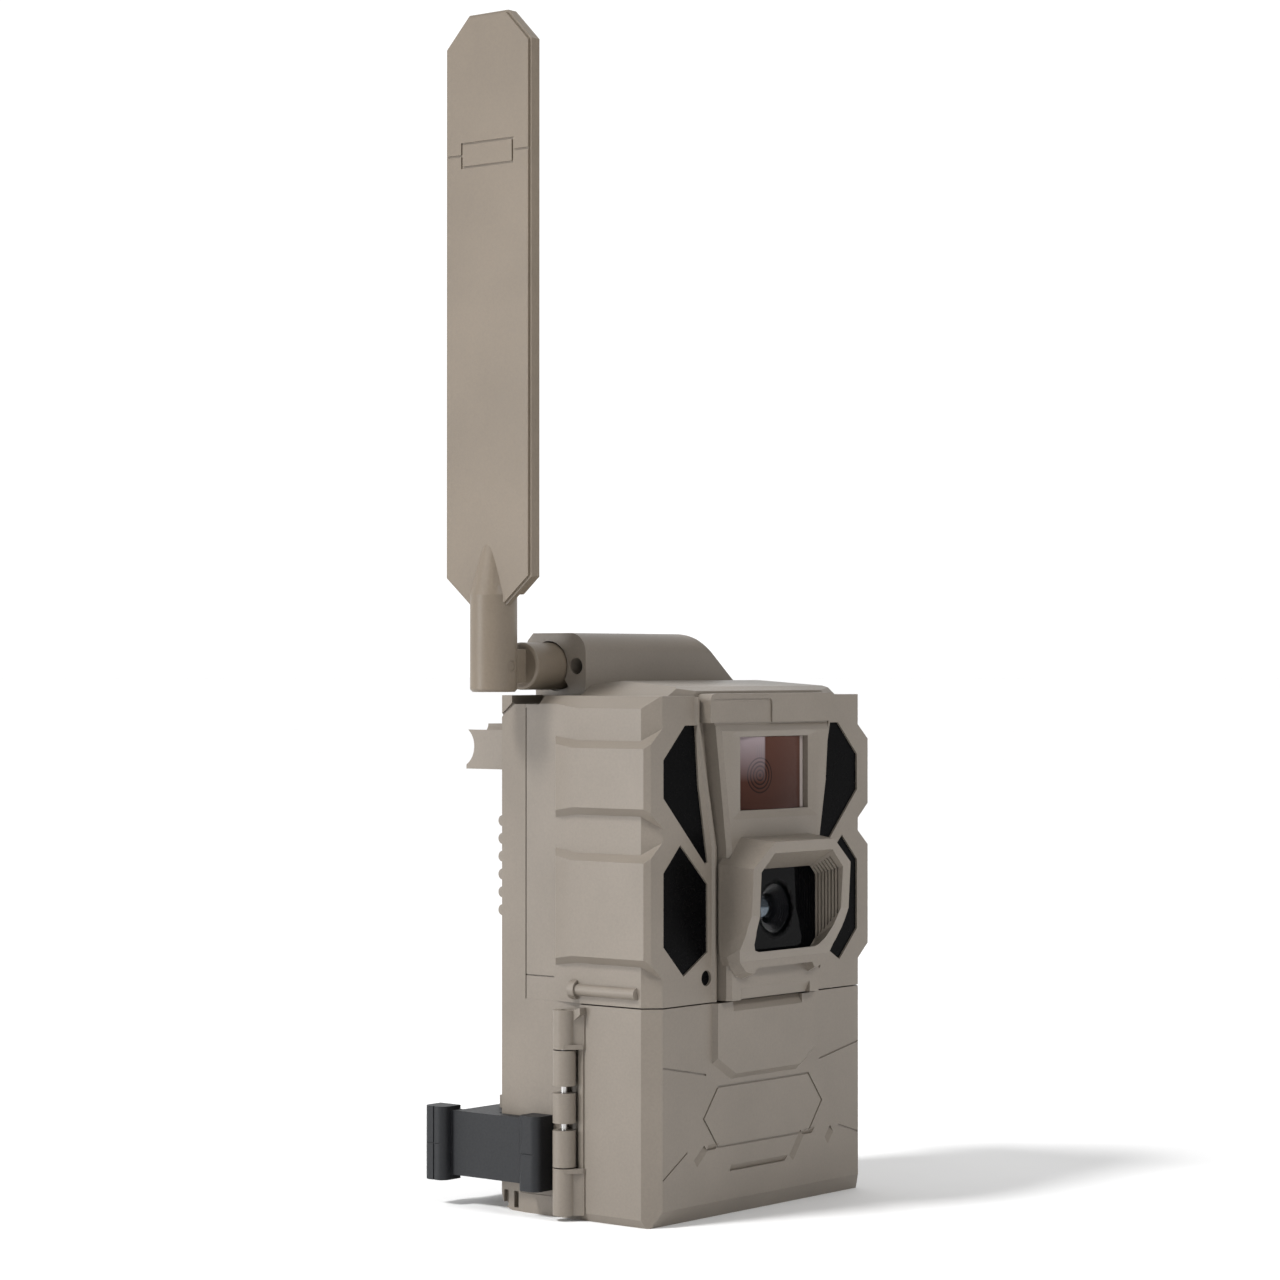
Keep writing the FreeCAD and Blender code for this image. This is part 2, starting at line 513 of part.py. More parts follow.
def center_column():
    near = column_outline(0, SEAM_Z + 0.3, CASE_TOP + 0.6)
    far = column_outline(-COLUMN_CHAMFER, SEAM_Z + 0.3, CASE_TOP + 0.6)
    slab = prism_y(near, COLUMN_FACE_Y + COLUMN_CHAMFER, COLUMN_BACK_Y)
    face = loft_y(near, COLUMN_FACE_Y + COLUMN_CHAMFER, far, COLUMN_FACE_Y)
    above = [(COLUMN_FACE_Y - 0.1, HEADER_Z - 2.3), (HEADER_Y + 0.8, HEADER_Z - 0.4), (HEADER_Y + 0.8, CASE_TOP + 2)]
    above.append((COLUMN_FACE_Y - 0.1, CASE_TOP + 2))
    solid = join([join([slab, face]).cut(prism_x(above, -40, 40)), header_block()])
    frame_out = [(19.4, PIR_Z - 12.2), (20.0, PIR_Z + 9.6), (19.2, PIR_Z + 11.0), (17.6, PIR_Z + 11.4)]
    top = PIR_Z + PIR_HALF_HEIGHT
    frame_in = [(PIR_HALF, PIR_Z - PIR_HALF_HEIGHT), (PIR_HALF, top - 0.6)]
    frame_in += [(PIR_HALF - 0.2, top - 0.2), (PIR_HALF - 0.6, top)]
    cuts = [loft_y(both_sides(frame_out), COLUMN_FACE_Y, both_sides(frame_in), COLUMN_FACE_Y + PIR_BEVEL)]
    cuts.append(box(-PIR_HALF, PIR_HALF, COLUMN_FACE_Y + PIR_BEVEL - 0.1, -20, PIR_Z - PIR_HALF_HEIGHT, top))
    cuts.append(prism_y(glass_outline(0.15), COLUMN_FACE_Y - 1, GLASS_Y + GLASS_THICK))
    cuts.append(cyl("y", 0, -33, LENS_Z, 11.0, 8))
    foot = [(COLUMN_FACE_Y - 0.1, SEAM_Z + 0.2), (COLUMN_FACE_Y + 1.7, SEAM_Z + 0.2), (COLUMN_FACE_Y - 0.1, SEAM_Z + 3.6)]
    cuts.append(prism_x(foot, -15.5, 15.5))
    return solid.cut(Part.makeCompound(cuts)).removeSplitter()


def header_block():
    """The raised block across the column's top; its left half is sunk a little."""
    block = box(-HEADER_HALF, HEADER_HALF, HEADER_Y, COLUMN_BACK_Y, HEADER_Z, CASE_TOP + 0.6)
    corners = [e for e in block.Edges if e.BoundBox.YLength > 1 and e.BoundBox.ZMin > CASE_TOP]
    block = block.makeFillet(2.0, corners)
    low = HEADER_Z - 1
    high = CASE_TOP - 0.8
    sunk = box(-27.2, -0.8, HEADER_Y - 0.1, HEADER_Y + 0.45, low, high)
    upright = [e for e in sunk.Edges if e.BoundBox.YLength > 0.1 and e.BoundBox.ZMin > low + 1]
    return block.cut(sunk.makeFillet(1.2, upright))


def hood_outline(half, top_half, top, knee, side_low, low_half, low):
    """Right half of the hood's outline: lip, curved lower corner, side and chamfered top."""
    right = [(low_half, low)]
    for step in (1, 2, 3):
        angle = math.radians(90 - 22.5 * step)
        right.append((low_half + (half - low_half) * math.cos(angle), side_low - (side_low - low) * math.sin(angle)))
    return right + [(half, side_low), (half, knee), (top_half, top)]


def flat_wire(right, y):
    points = [vec(x, y, z) for x, z in both_sides(right)]
    return Part.makePolygon(points + points[:1])


def glass_outline(grow):
    half = 16.9 + grow
    low = 71.3 - grow
    high = 93.6 + grow
    return both_sides([(half - 2.4, low), (half, low + 2.4), (half, high - 2.4), (half - 2.4, high)])


def hood_sizes(part):
    """Sizes of the hood's inner outline, from 0 at its open end to 1 at the glass."""
    open_end = (18.8, 12.9, 99.2, 94.1, 85.5, 9.6, 72.5)
    glass_end = (17.0, 14.4, 93.8, 91.2, 74.4, 13.8, 71.2)
    return [a + (b - a) * part for a, b in zip(open_end, glass_end)]


HOOD_STEPS = 7
STEP_PITCH = 1.0
STEP_DEPTH = 0.8


def hood_groove(step):
    """One of the light-trapping grooves along the hood's inner sides."""
    near = GLASS_Y - 0.5 - STEP_PITCH * step
    half, top_half, top, knee, side_low, low_half, low = hood_sizes(1 - (GLASS_Y - near) / (GLASS_Y - HOOD_FRONT_Y))
    x = half + STEP_DEPTH
    right = [(x, side_low - 1.0), (x, knee), (x + 0.8 * (top_half - half), knee + 0.8 * (top - knee))]
    return prism_y(both_sides(right), near - STEP_PITCH / 2, near)


def lens_hood():
    """The hood, cut back to a rim that steps away from the lens below its upright front."""
    outer_rim = hood_outline(21.9, 13.1, 101.5, 94.6, 81.0, 12.2, 69.2)
    outer_base = hood_outline(22.4, 15.5, 102.6, 95.4, 74.5, 15.4, 64.4)
    outer = Part.makeLoft([flat_wire(outer_base, COLUMN_FACE_Y), flat_wire(outer_rim, HOOD_FRONT_Y)], True, True)
    skirt = prism_y(both_sides(outer_base), COLUMN_FACE_Y, COLUMN_FACE_Y + 2.4)
    skirt = skirt.cut(prism_y(column_outline(0.05, SEAM_Z, CASE_TOP), HOOD_FRONT_Y, FRONT_Y))
    glass_end = flat_wire(hood_outline(*hood_sizes(1)), GLASS_Y)
    open_end = flat_wire(hood_outline(*hood_sizes(0)), HOOD_FRONT_Y)
    hood = join([outer, skirt]).cut(Part.makeLoft([glass_end, open_end], True, True))
    for step in range(HOOD_STEPS):
        hood = hood.cut(hood_groove(step))
    rim = [(-42.1, 103), (-42.1, 101), (-41.5, 94.5), (-40.8, 82), (-38.6, 76.6)]
    rim += [(-36.2, 72.2), (-35.4, 69.4), (-35.2, 62), (-50, 62), (-50, 103)]
    hood = hood.cut(prism_x(rim, -30, 30))
    underside = prism_y([(-15.6, 63), (15.6, 63), (12.4, 67.3), (-12.4, 67.3)], HOOD_FRONT_Y, COLUMN_FACE_Y)
    return hood.cut(underside).cut(prism_y(glass_outline(0.15), GLASS_Y - 0.01, COLUMN_FACE_Y + 0.1))


def lens_glass():
    return prism_y(glass_outline(0), GLASS_Y, GLASS_Y + GLASS_THICK)


def pir_window():
    """The curved Fresnel window of the motion sensor, bowed forwards, with its flat mounting flange."""
    bow = 63.0
    centre = -31.9 + bow
    shell = cyl("z", 0, centre, PIR_Z - 9.9, bow, 19.8).cut(cyl("z", 0, centre, PIR_Z - 11, bow - 0.8, 22))
    film = shell.common(box(-15.1, 15.1, -32, -26.0, PIR_Z - 9.9, PIR_Z + 9.9))
    feet = [box(x, x + 1.0, -29.8, -24.6, PIR_Z - 9.9, PIR_Z + 9.9) for x in (-15.1, 14.1)]
    flange = box(-18, 18, -25.5, -24.5, PIR_Z - 12, PIR_Z + 12)
    flange = flange.cut(box(-14.2, 14.2, -26, -24, PIR_Z - 9.4, PIR_Z + 9.4))
    return join([film, flange] + feet)


def lens_barrel():
    """The lens barrel: a stepped nose close behind the glass, a flange and the threaded body."""
    nose = cyl("y", 0, -31.6, LENS_Z, 6.7, 2.0)
    flange = cyl("y", 0, -30.2, LENS_Z, 9.8, 2.6)
    body = cyl("y", 0, -30.2, LENS_Z, 7.0, 16.8)
    cuts = [cyl("y", 0, -32, LENS_Z, LENS_BORE, 20)]
    cuts += [cyl("y", 0, -32, LENS_Z, 6.2 - 0.4 * k, 0.8 + 0.45 * k) for k in range(5)]
    solid = join([nose, flange, body])
    for cut in cuts:
        solid = solid.cut(cut)
    return solid


def lens_element():
    ball = Part.makeSphere(5.6, vec(0, -23.8, LENS_Z))
    return ball.common(cyl("y", 0, -30, LENS_Z, LENS_BORE - 0.05, 5.0))


def lens_holder():
    base = box(-10, 10, -16.6, -12.0, LENS_Z - 10, LENS_Z + 10)
    tower = cyl("y", 0, -21.0, LENS_Z, 8.6, 6)
    return join([base, tower]).cut(cyl("y", 0, -22, LENS_Z, 7.03, 12))


def image_sensor_board():
    board = box(-13, 13, -12.0, -10.6, LENS_Z - 13, LENS_Z + 13)
    chip = box(-4, 4, -13.0, -12.0, LENS_Z - 4, LENS_Z + 4)
    return join([board, chip])


def pir_sensor():
    board = box(-13, 13, -12.0, -10.6, PIR_Z - 11, PIR_Z + 11)
    can = cyl("y", 0, -16.2, PIR_Z, 4.6, 4.3)
    rim = cyl("y", 0, -12.6, PIR_Z, 5.0, 0.7)
    return join([board, can, rim])


# ---------------------------------------------------------------- electronics in the upper housing

def light_sensor_window():
    return cyl("y", -SENSOR_X, -27.2, SENSOR_Z, 2.05, 2.2)


def microphone():
    return join([cyl("y", SENSOR_X, -25.5, SENSOR_Z, 2.6, 2.6), cyl("y", SENSOR_X, -26.6, SENSOR_Z, 0.75, 1.2)])


def electronics_frame():
    plate = box(-42, 42, -2, 0, 61.5, 134)
    posts = [cyl("y", x, 0, z, 2.4, 6) for x in (-30, 30) for z in (69, 129)]
    posts += [cyl("y", x, -10.6, LENS_Z + z, 2.0, 8.7) for x in (-10.5, 10.5) for z in (-10.5, 10.5)]
    posts += [cyl("y", x, -10.6, PIR_Z + z, 2.0, 8.7) for x in (-10.5, 10.5) for z in (-8.5, 8.5)]
    rear = LED_BOARD_Y + BOARD_THICK
    posts += [cyl("y", x, rear, z, 2.0, -1 - rear) for x in (-34, 34) for z in (78, 120)]
    holes = [cyl("y", x, -3, z, 3.0, 4) for x, z in SCREW_SPOTS]
    windows = [box(-7, 7, -3, 1, LENS_Z - 7, LENS_Z + 7), box(-24, 24, -3, 1, 99, 107)]
    return join([plate] + posts).cut(Part.makeCompound(holes + windows))


def main_board():
    board = box(-36, 36, 6.0, 7.6, 64, 133)
    chips = [box(8, 22, 7.6, 9.2, 92, 106), box(26, 33, 7.6, 9.0, 96, 102), box(10, 20, 7.6, 9.6, 76, 84)]
    chips += [cyl("y", -30 + 7 * k, 7.6, 72, 2.4, 5) for k in range(3)]
    return join([board] + chips)


def modem_module():
    can = box(-26, 4, 7.6, 10.4, 84, 114)
    socket = box(-8, -4, 10.4, 14.4, 107, 112)
    return join([can, socket])


LED_BOARD = [(25.0, 71.0), (43.0, 71.0), (43.0, 128.0), (27.5, 128.0)]
LED_SPOTS = [(29.5, 88), (29.5, 80), (34.5, 94), (34.5, 86), (34.5, 75), (39.5, 92), (39.5, 84), (39.5, 77),
             (30.5, 103), (31.0, 110), (36.5, 110), (31.5, 117), (39.5, 116), (33.0, 125.5), (39.0, 122.5)]


LED_BOARD_Y = -21.7
BOARD_THICK = 1.4
LED_R = 1.7


def ir_led_boards():
    board = prism_y(LED_BOARD, LED_BOARD_Y, LED_BOARD_Y + BOARD_THICK)
    return [board, mirror_x(board)]


def ir_leds():
    solids = []
    neck = LED_BOARD_Y - 0.9
    for side in (-1, 1):
        for x, z in LED_SPOTS:
            dome = Part.makeSphere(LED_R, vec(side * x, neck, z)).common(cyl("y", side * x, neck - 2, z, LED_R, 2))
            solids.append(join([dome, cyl("y", side * x, neck, z, LED_R, 0.9)]))
    return solids


def housing_gasket_ring(inset):
    outline = [(-46.0, 59.4), (46.0, 59.4), (46.0, 136.4), (43.6, 139.6), (-32.2, 139.6), (-32.2, 137.8)]
    outline += [(-45.2, 137.8), (-46.0, 136.6)]
    return prism_y(scaled(outline, inset), SPLIT_Y - 0.8, SPLIT_Y)


def housing_gasket():
    return housing_gasket_ring(0).cut(housing_gasket_ring(0.9))


def housing_screws():
    solids = []
    for x, z in SCREW_SPOTS:
        head = cyl("y", x, BACK_Y - 3.2, z, 2.7, 1.9)
        solids.append(join([head, cyl("y", x, 3.0, z, 1.2, BACK_Y - 6.0)]).cut(cross_slot(x, BACK_Y - 1.3, z)))
    return solids


def cross_slot(x, y, z):
    """A cross recess for a driver, cut into a screw head whose top is at y."""
    bars = [box(x - 1.6, x + 1.6, y - 1.0, y + 0.1, z - 0.35, z + 0.35)]
    bars.append(box(x - 0.35, x + 0.35, y - 1.0, y + 0.1, z - 1.6, z + 1.6))
    return join(bars)


# ---------------------------------------------------------------- battery door, hinge and latch

def chip(flush, deep, depth):
    """A shallow bevelled facet: flush with the face along one edge and sunk along the other."""
    ends = []
    for (fx, fz), (dx, dz) in zip(flush, deep):
        corner = [vec(fx, FRONT_Y, fz), vec(dx, FRONT_Y - 0.05, dz), vec(dx, FRONT_Y + depth, dz)]
        ends.append(Part.makePolygon(corner + corner[:1]))
    return Part.makeLoft(ends, True, True)


def door_facets():
    solids = [chip([(-29.4, 14.6), (-25.0, 18.4)], [(-30.7, 16.6), (-26.3, 20.2)], 1.0)]
    solids.append(chip([(13.4, 11.7), (18.3, 18.2)], [(11.6, 13.3), (16.7, 19.9)], 1.0))
    solids.append(chip([(29.6, 14.6), (32.2, 17.8)], [(28.1, 16.6), (30.7, 19.8)], 1.0))
    for left, right, z in ((-14.6, 11.0, 12.0), (-24.6, -19.8, 18.6), (18.6, 23.6, 18.4)):
        solids.append(chip([(left, z + 1.6), (right, z + 1.6)], [(left - 0.6, z), (right - 1.6, z)], 0.8))
    return solids


def seam_groove(start, end):
    """A shallow straight line pressed into the door's face."""
    (x0, z0), (x1, z1) = start, end
    return prism_y([(x0, z0 - 0.25), (x1, z1 - 0.25), (x1, z1 + 0.25), (x0, z0 + 0.25)], FRONT_Y - 0.1, FRONT_Y + 0.35)


PANEL_RELIEF = 1.5
BADGE = [(27.0, 27.2), (20.5, 35.6), (-20.5, 35.6), (-27.0, 27.2), (-20.5, 18.8), (20.5, 18.8)]


def door_panel():
    """The raised panel that carries the centre column's line down onto the door."""
    low = [(14.8, 37.0), (22.9, 41.8), (22.9, DOOR_TOP)]
    high = [(14.3, 38.5), (22.2, 43.2), (22.2, DOOR_TOP)]
    panel = loft_y(both_sides(low), FRONT_Y, both_sides(high), FRONT_Y - PANEL_RELIEF)
    slope = [(FRONT_Y - 2, DOOR_TOP + 0.1), (FRONT_Y + 0.2, DOOR_TOP + 0.1), (FRONT_Y - 2, DOOR_TOP - 3.4)]
    return panel, prism_x(slope, -15.5, 15.5)


def door_knuckle(low, high, lip_low):
    """A barrel, the web that carries it from the door's side, and the lip that frames the case's knuckles."""
    barrel = cyl("z", HINGE_X, HINGE_Y, low, HINGE_R, high - low)
    web = [(-52.6, -1.1), (-50.2, -2.2), (-48.4, -4.4), (-46.5, -4.4), (-46.5, DOOR_BACK_Y),
           (-48.8, DOOR_BACK_Y), (HINGE_X, HINGE_Y)]
    lip = [(-52.9, -1.0), (-50.6, -2.9), (-48.7, -4.4), (-47.0, -4.4), (-48.8, DOOR_BACK_Y), (HINGE_X, HINGE_Y)]
    return join([barrel, prism_z(web, low, high), prism_z(lip, lip_low, lip_low + 1.3)])


def door_hinge_side():
    """Both knuckles, the brace over the upper one and the upright lip."""
    upper = door_knuckle(KNUCKLE_HIGH, 56.6, KNUCKLE_HIGH)
    lower = door_knuckle(1.6, KNUCKLE_LOW, KNUCKLE_LOW - 1.3)
    brace = prism_x([(-0.8, 52.6), (-4.6, 55.6), (-4.6, 57.4), (-0.8, 56.4)], -50.4, -47.6)
    lip = box(-48.5, -47.6, -4.0, DOOR_BACK_Y, KNUCKLE_LOW - 1.3, KNUCKLE_HIGH + 1.3)
    return [upper, lower, brace, lip]


def battery_door():
    right = [(FRONT_HALF, FRONT_Y), (ARMOUR_HALF, ARMOUR_FRONT_Y), (ARMOUR_HALF, DOOR_BACK_Y)]
    body = prism_z(right + [(-x, y) for x, y in reversed(right)], 0, DOOR_TOP)
    panel, panel_slope = door_panel()
    inner = [(42.2, FRONT_Y + WALL), (45.5, -22.2), (45.5, 0)]
    hollow = prism_z(inner + [(-x, y) for x, y in reversed(inner)], WALL, DOOR_TOP - WALL)
    body = join([body, panel] + door_hinge_side()).cut(hollow)
    cuts = [panel_slope, prism_x([(FRONT_Y - 0.1, -0.1), (-25.6, -0.1), (FRONT_Y - 0.1, 4.6)], -60, 60)]
    for side in (-1, 1):
        cuts.append(prism_y([(side * 48.1, -0.1), (side * 46.9, -0.1), (side * 48.1, 2.4)], -40, 5))
    cuts.append(cyl("z", HINGE_X, HINGE_Y, 0, HINGE_PIN_R + RUN_GAP, 60))
    cuts.append(prism_y(BADGE, FRONT_Y - 0.1, FRONT_Y + 0.4).cut(prism_y(scaled(BADGE, 0.55), FRONT_Y - 0.2, FRONT_Y + 1)))
    cuts += [seam_groove((-44.0, 42.4), (-25.5, 39.0)), seam_groove((25.5, 39.0), (44.0, 42.4))]
    cuts += [seam_groove((-44.0, 12.6), (-33.6, 19.0)), seam_groove((34.6, 19.4), (44.0, 16.6))]
    cuts += door_facets()
    for cut in cuts:
        body = body.cut(cut)
    return body


def hinge_pin():
    return cyl("z", HINGE_X, HINGE_Y, 2.4, HINGE_PIN_R, 51.4)


def latch_lever():
    barrel = cyl("z", LATCH_X, LATCH_Y, LATCH_LOW, LATCH_R, LATCH_HIGH - LATCH_LOW)
    outline = [(48.4, LATCH_Y), (48.4, -17.0), (49.2, -20.5), (51.8, -22.0), (52.6, -20.8), (51.4, -16.0),
               (52.2, 2.0), (53.2, LATCH_Y)]
    arm = prism_z(outline, LATCH_LOW, LATCH_HIGH)
    arm = arm.makeChamfer(1.2, [e for e in arm.Edges if e.BoundBox.XMin > 51.3 and e.BoundBox.ZLength < 0.01
                                and e.BoundBox.YMax < 3])
    ribs = [box(51.3, 53.0, -15.0 + 2.4 * k, -14.0 + 2.4 * k, LATCH_LOW + 3, LATCH_HIGH - 3) for k in range(4)]
    bore = cyl("z", LATCH_X, LATCH_Y, LATCH_LOW - 5, LATCH_PIN_R + RUN_GAP, 30)
    return join([barrel, arm] + ribs).cut(bore)


def latch_pin():
    return cyl("z", LATCH_X, LATCH_Y, LATCH_LOW - LATCH_EAR, LATCH_PIN_R, LATCH_HIGH - LATCH_LOW + 2 * LATCH_EAR)


def door_gasket():
    """The seal that sits in a groove round the case's front edge and meets the door's rear edge."""
    front = DOOR_BACK_Y + 0.05
    back = REAR_FRONT_Y + 0.8
    ring = box(-46.3, 46.3, front, back, 0.8, SEAM_Z - 0.75)
    return ring.cut(box(-45.3, 45.3, front - 1, back + 1, 1.8, SEAM_Z - 1.75))


# ---------------------------------------------------------------- battery tray and controls

PLATE = 0.9
CELL_X = [TRAY_LEFT + 1.2 + CELL_PITCH * (k + 0.5) for k in range(4)]
CELL_Y = [0.95, 16.65]
CELL_BOTTOM = TRAY_BOTTOM + PLATE


def battery_tray():
    outer = box(TRAY_LEFT, TRAY_RIGHT, TRAY_FRONT_Y, TRAY_BACK_Y, TRAY_BOTTOM, TRAY_TOP)
    bays = [box(TRAY_LEFT + 1.2, TRAY_RIGHT - 1.2, -8, 8.2, TRAY_BOTTOM + PLATE, TRAY_TOP - PLATE)]
    bays.append(box(TRAY_LEFT + 1.2, TRAY_RIGHT - 1.2, 9.4, 26, TRAY_BOTTOM + PLATE, TRAY_TOP - PLATE))
    windows = [box(x0, x1, y - 4, y + 4, z - 2, z + 2) for x0, x1, y in contact_spans() for z in (3.5, TRAY_TOP - 0.5)]
    strap = box(TRAY_LEFT + 1, TRAY_RIGHT - 1, TRAY_FRONT_Y, TRAY_FRONT_Y + 0.8, 24, 32)
    tab = box(3, 15, TRAY_FRONT_Y - 3.0, TRAY_FRONT_Y, 27, 29)
    return join([outer.cut(Part.makeCompound(bays)).cut(Part.makeCompound(windows)), strap, tab])


def contact_spans():
    """The X range and Y centre of each contact plate: one joins each pair of neighbouring cells."""
    spans = []
    for y in CELL_Y:
        for left in (0, 2):
            spans.append((CELL_X[left] - 4.0, CELL_X[left + 1] + 4.0, y))
    return spans


def tray_contacts():
    solids = []
    for x0, x1, y in contact_spans():
        for z in (TRAY_BOTTOM + 0.2, TRAY_TOP - PLATE):
            solids.append(box(x0, x1, y - 4, y + 4, z, z + PLATE - 0.2))
    return solids


def aa_cells():
    solids = []
    for row, y in enumerate(CELL_Y):
        for column, x in enumerate(CELL_X):
            can = cyl("z", x, y, CELL_BOTTOM, CELL_R, 49.3)
            can = can.makeFillet(0.7, can.Edges[:1] + can.Edges[2:3])
            nub = cyl("z", x, y, CELL_BOTTOM + 49.3, 2.6, 0.95)
            cell = join([can, nub])
            if (row + column) % 2:
                cell = cell.mirror(vec(0, 0, CELL_BOTTOM + 50.25 / 2), vec(0, 0, 1))
            solids.append(cell)
    return solids


BUTTON_X = -38.0
BUTTON_R = 2.2
BUTTONS = {"button_up": 34.5, "button_select": 27.5, "button_down": 20.5}


def control_panel():
    plate = box(PANEL_LEFT, PANEL_RIGHT, PANEL_Y, PANEL_Y + 2, TRAY_BOTTOM, TRAY_TOP)
    wall = box(PANEL_RIGHT - 1.2, PANEL_RIGHT, PANEL_Y, BACK_Y - WALL, TRAY_BOTTOM, TRAY_TOP)
    cuts = [cyl("y", BUTTON_X, -9, z, BUTTON_R + 0.08, 5) for z in BUTTONS.values()]
    cuts.append(box(-41.0, -27.0, -9, -4, 39.5, 52.5))
    cuts.append(box(-29.6, -26.7, -9, -4, 5.6, 30.4))
    cuts.append(box(-39.35, -36.65, -9, -4, 7.1, 16.4))
    cuts.append(cyl("y", -33.0, -9, 34.5, 1.25, 5))
    return join([plate, wall]).cut(Part.makeCompound(cuts))


def control_board():
    board = box(-43.2, -31.5, -1.0, 0.6, 4, 54)
    domes = [cyl("y", BUTTON_X, -2.8, z, 1.5, 1.9) for z in BUTTONS.values()]
    posts = [cyl("y", x, -5.5, z, 1.2, 4.6) for x, z in ((-42.0, 37.0), (-32.9, 17.0))]
    return join([board] + domes + posts)


def lcd_screen():
    return join([box(-40.9, -27.1, -7.1, -5.4, 39.6, 52.4), box(-42.2, -25.8, -5.5, -3.4, 38.4, 53.8)])


def button(z):
    cap = cyl("y", BUTTON_X, PANEL_Y - 1.2, z, BUTTON_R, 4.6)
    cap = cap.makeFillet(0.5, [e for e in cap.Edges if e.BoundBox.YMax < PANEL_Y - 1.1])
    return join([cap, cyl("y", BUTTON_X, PANEL_Y + 2.3, z, 2.9, 0.9)])


def power_switch():
    knob = box(-39.0, -37.0, PANEL_Y - 1.4, -4.3, 7.5, 11.5)
    return join([knob, box(-40.2, -35.8, PANEL_Y + 2.3, -4.3, 6.2, 12.8)])


CARD_LENGTH = 32.0
CARD_WIDTH = 24.0
CARD_THICK = 2.1
CARD_CORNER = 4.0
CARD_X = -29.2
CARD_FRONT_Y = -8.6
CARD_LOW = 6.0


def sd_socket():
    cage = box(-30.4, -25.9, -4.5, 24.4, 4.8, 31.2)
    return cage.cut(box(-29.5, -26.8, -5, 23.9, 5.65, 30.35))


def sd_card():
    rear = CARD_FRONT_Y + CARD_LENGTH
    high = CARD_LOW + CARD_WIDTH
    outline = [(CARD_FRONT_Y, CARD_LOW), (rear, CARD_LOW), (rear, high - CARD_CORNER),
               (rear - CARD_CORNER, high), (CARD_FRONT_Y, high)]
    return prism_x(outline, CARD_X, CARD_X + CARD_THICK)


def status_led():
    return join([cyl("y", -33.0, -7.8, 34.5, 1.2, 2.4), cyl("y", -33.0, -5.5, 34.5, 1.8, 4.5)])


def power_contacts():
    return [box(PANEL_RIGHT, PANEL_RIGHT + 0.8, 14, 20, z, z + 4) for z in (26, 40)]


def power_jack():
    body = box(JACK_X - 5, JACK_X + 5, JACK_Y - 5, JACK_Y + 5, WALL, 14.0)
    bore = cyl("z", JACK_X, JACK_Y, 0, 2.8, 12)
    pin = cyl("z", JACK_X, JACK_Y, 4.0, 1.0, 8.5)
    return join([body.cut(bore), pin])


def jack_plug():
    cap = cyl("z", JACK_X, JACK_Y, 0.5, 4.12, 1.8)
    nipple = cyl("z", JACK_X, JACK_Y, 2.2, 2.7, 5.0)
    grip = box(JACK_X - 2.6, JACK_X + 2.6, JACK_Y - 0.6, JACK_Y + 0.6, -0.1, 0.9).cut(box(-60, 0, 0, 30, -1, 0.15))
    return join([cap, nipple, grip]).cut(cyl("z", JACK_X, JACK_Y, 3.2, 1.25, 6))


# ---------------------------------------------------------------- back of the case

def tree_foot(half, low, high, tip_y):
    """A foot that bears on the trunk: two edges with a hollow between, curved in plan to suit a trunk."""
    middle = (low + high) / 2
    arc = Part.Arc(vec(-half, tip_y, low + 1.2), vec(-half, tip_y - 2.9, middle), vec(-half, tip_y, high - 1.2))
    corners = [vec(-half, tip_y, high - 1.2), vec(-half, tip_y, high), vec(-half, BACK_Y, high),
               vec(-half, BACK_Y, low), vec(-half, tip_y, low), vec(-half, tip_y, low + 1.2)]
    outline = Part.Wire([arc.toShape()] + Part.makePolygon(corners).Edges)
    solid = Part.Face(outline).extrude(vec(2 * half, 0, 0))
    sag = 8.7 * (half / 44.0) ** 2
    radius = (half * half + sag * sag) / (2 * sag)
    trunk = cyl("z", 0, tip_y - sag + radius, low - 1, radius, high - low + 2)
    return solid.cut(trunk)


def tree_plate_upper():
    foot = tree_foot(44.0, 120.5, 133.0, 42.4)
    holes = [cyl("y", x, BACK_Y - 1, z, 1.6, 30) for x, z in PLATE_SCREWS[:2]]
    holes += [cyl("y", x, BACK_Y + 3.0, z, 3.0, 30) for x, z in PLATE_SCREWS[:2]]
    holes += [cyl("y", x, BACK_Y - 1, 133.0, 3.4, 30) for x in (-41.0, 41.0)]
    return foot.cut(Part.makeCompound(holes))


BAR_Y = 42.5
LOOP_BACK_Y = 34.5         # rear face of the strap openings beside the lower foot


def tree_foot_lower():
    block = box(-30, 30, BACK_Y, BAR_Y, 10.0, 28.5)
    pocket = [box(-27 + 28 * k, -1 + 28 * k, BACK_Y + 3, BAR_Y - 2.5, 12.5, 29) for k in range(2)]
    posts = [cyl("y", x, BACK_Y, z, 3.6, BAR_Y - BACK_Y) for x, z in PLATE_SCREWS[2:]]
    holes = [cyl("y", x, BACK_Y - 1, z, 1.6, 30) for x, z in PLATE_SCREWS[2:]]
    return join([block.cut(Part.makeCompound(pocket))] + posts).cut(Part.makeCompound(holes))


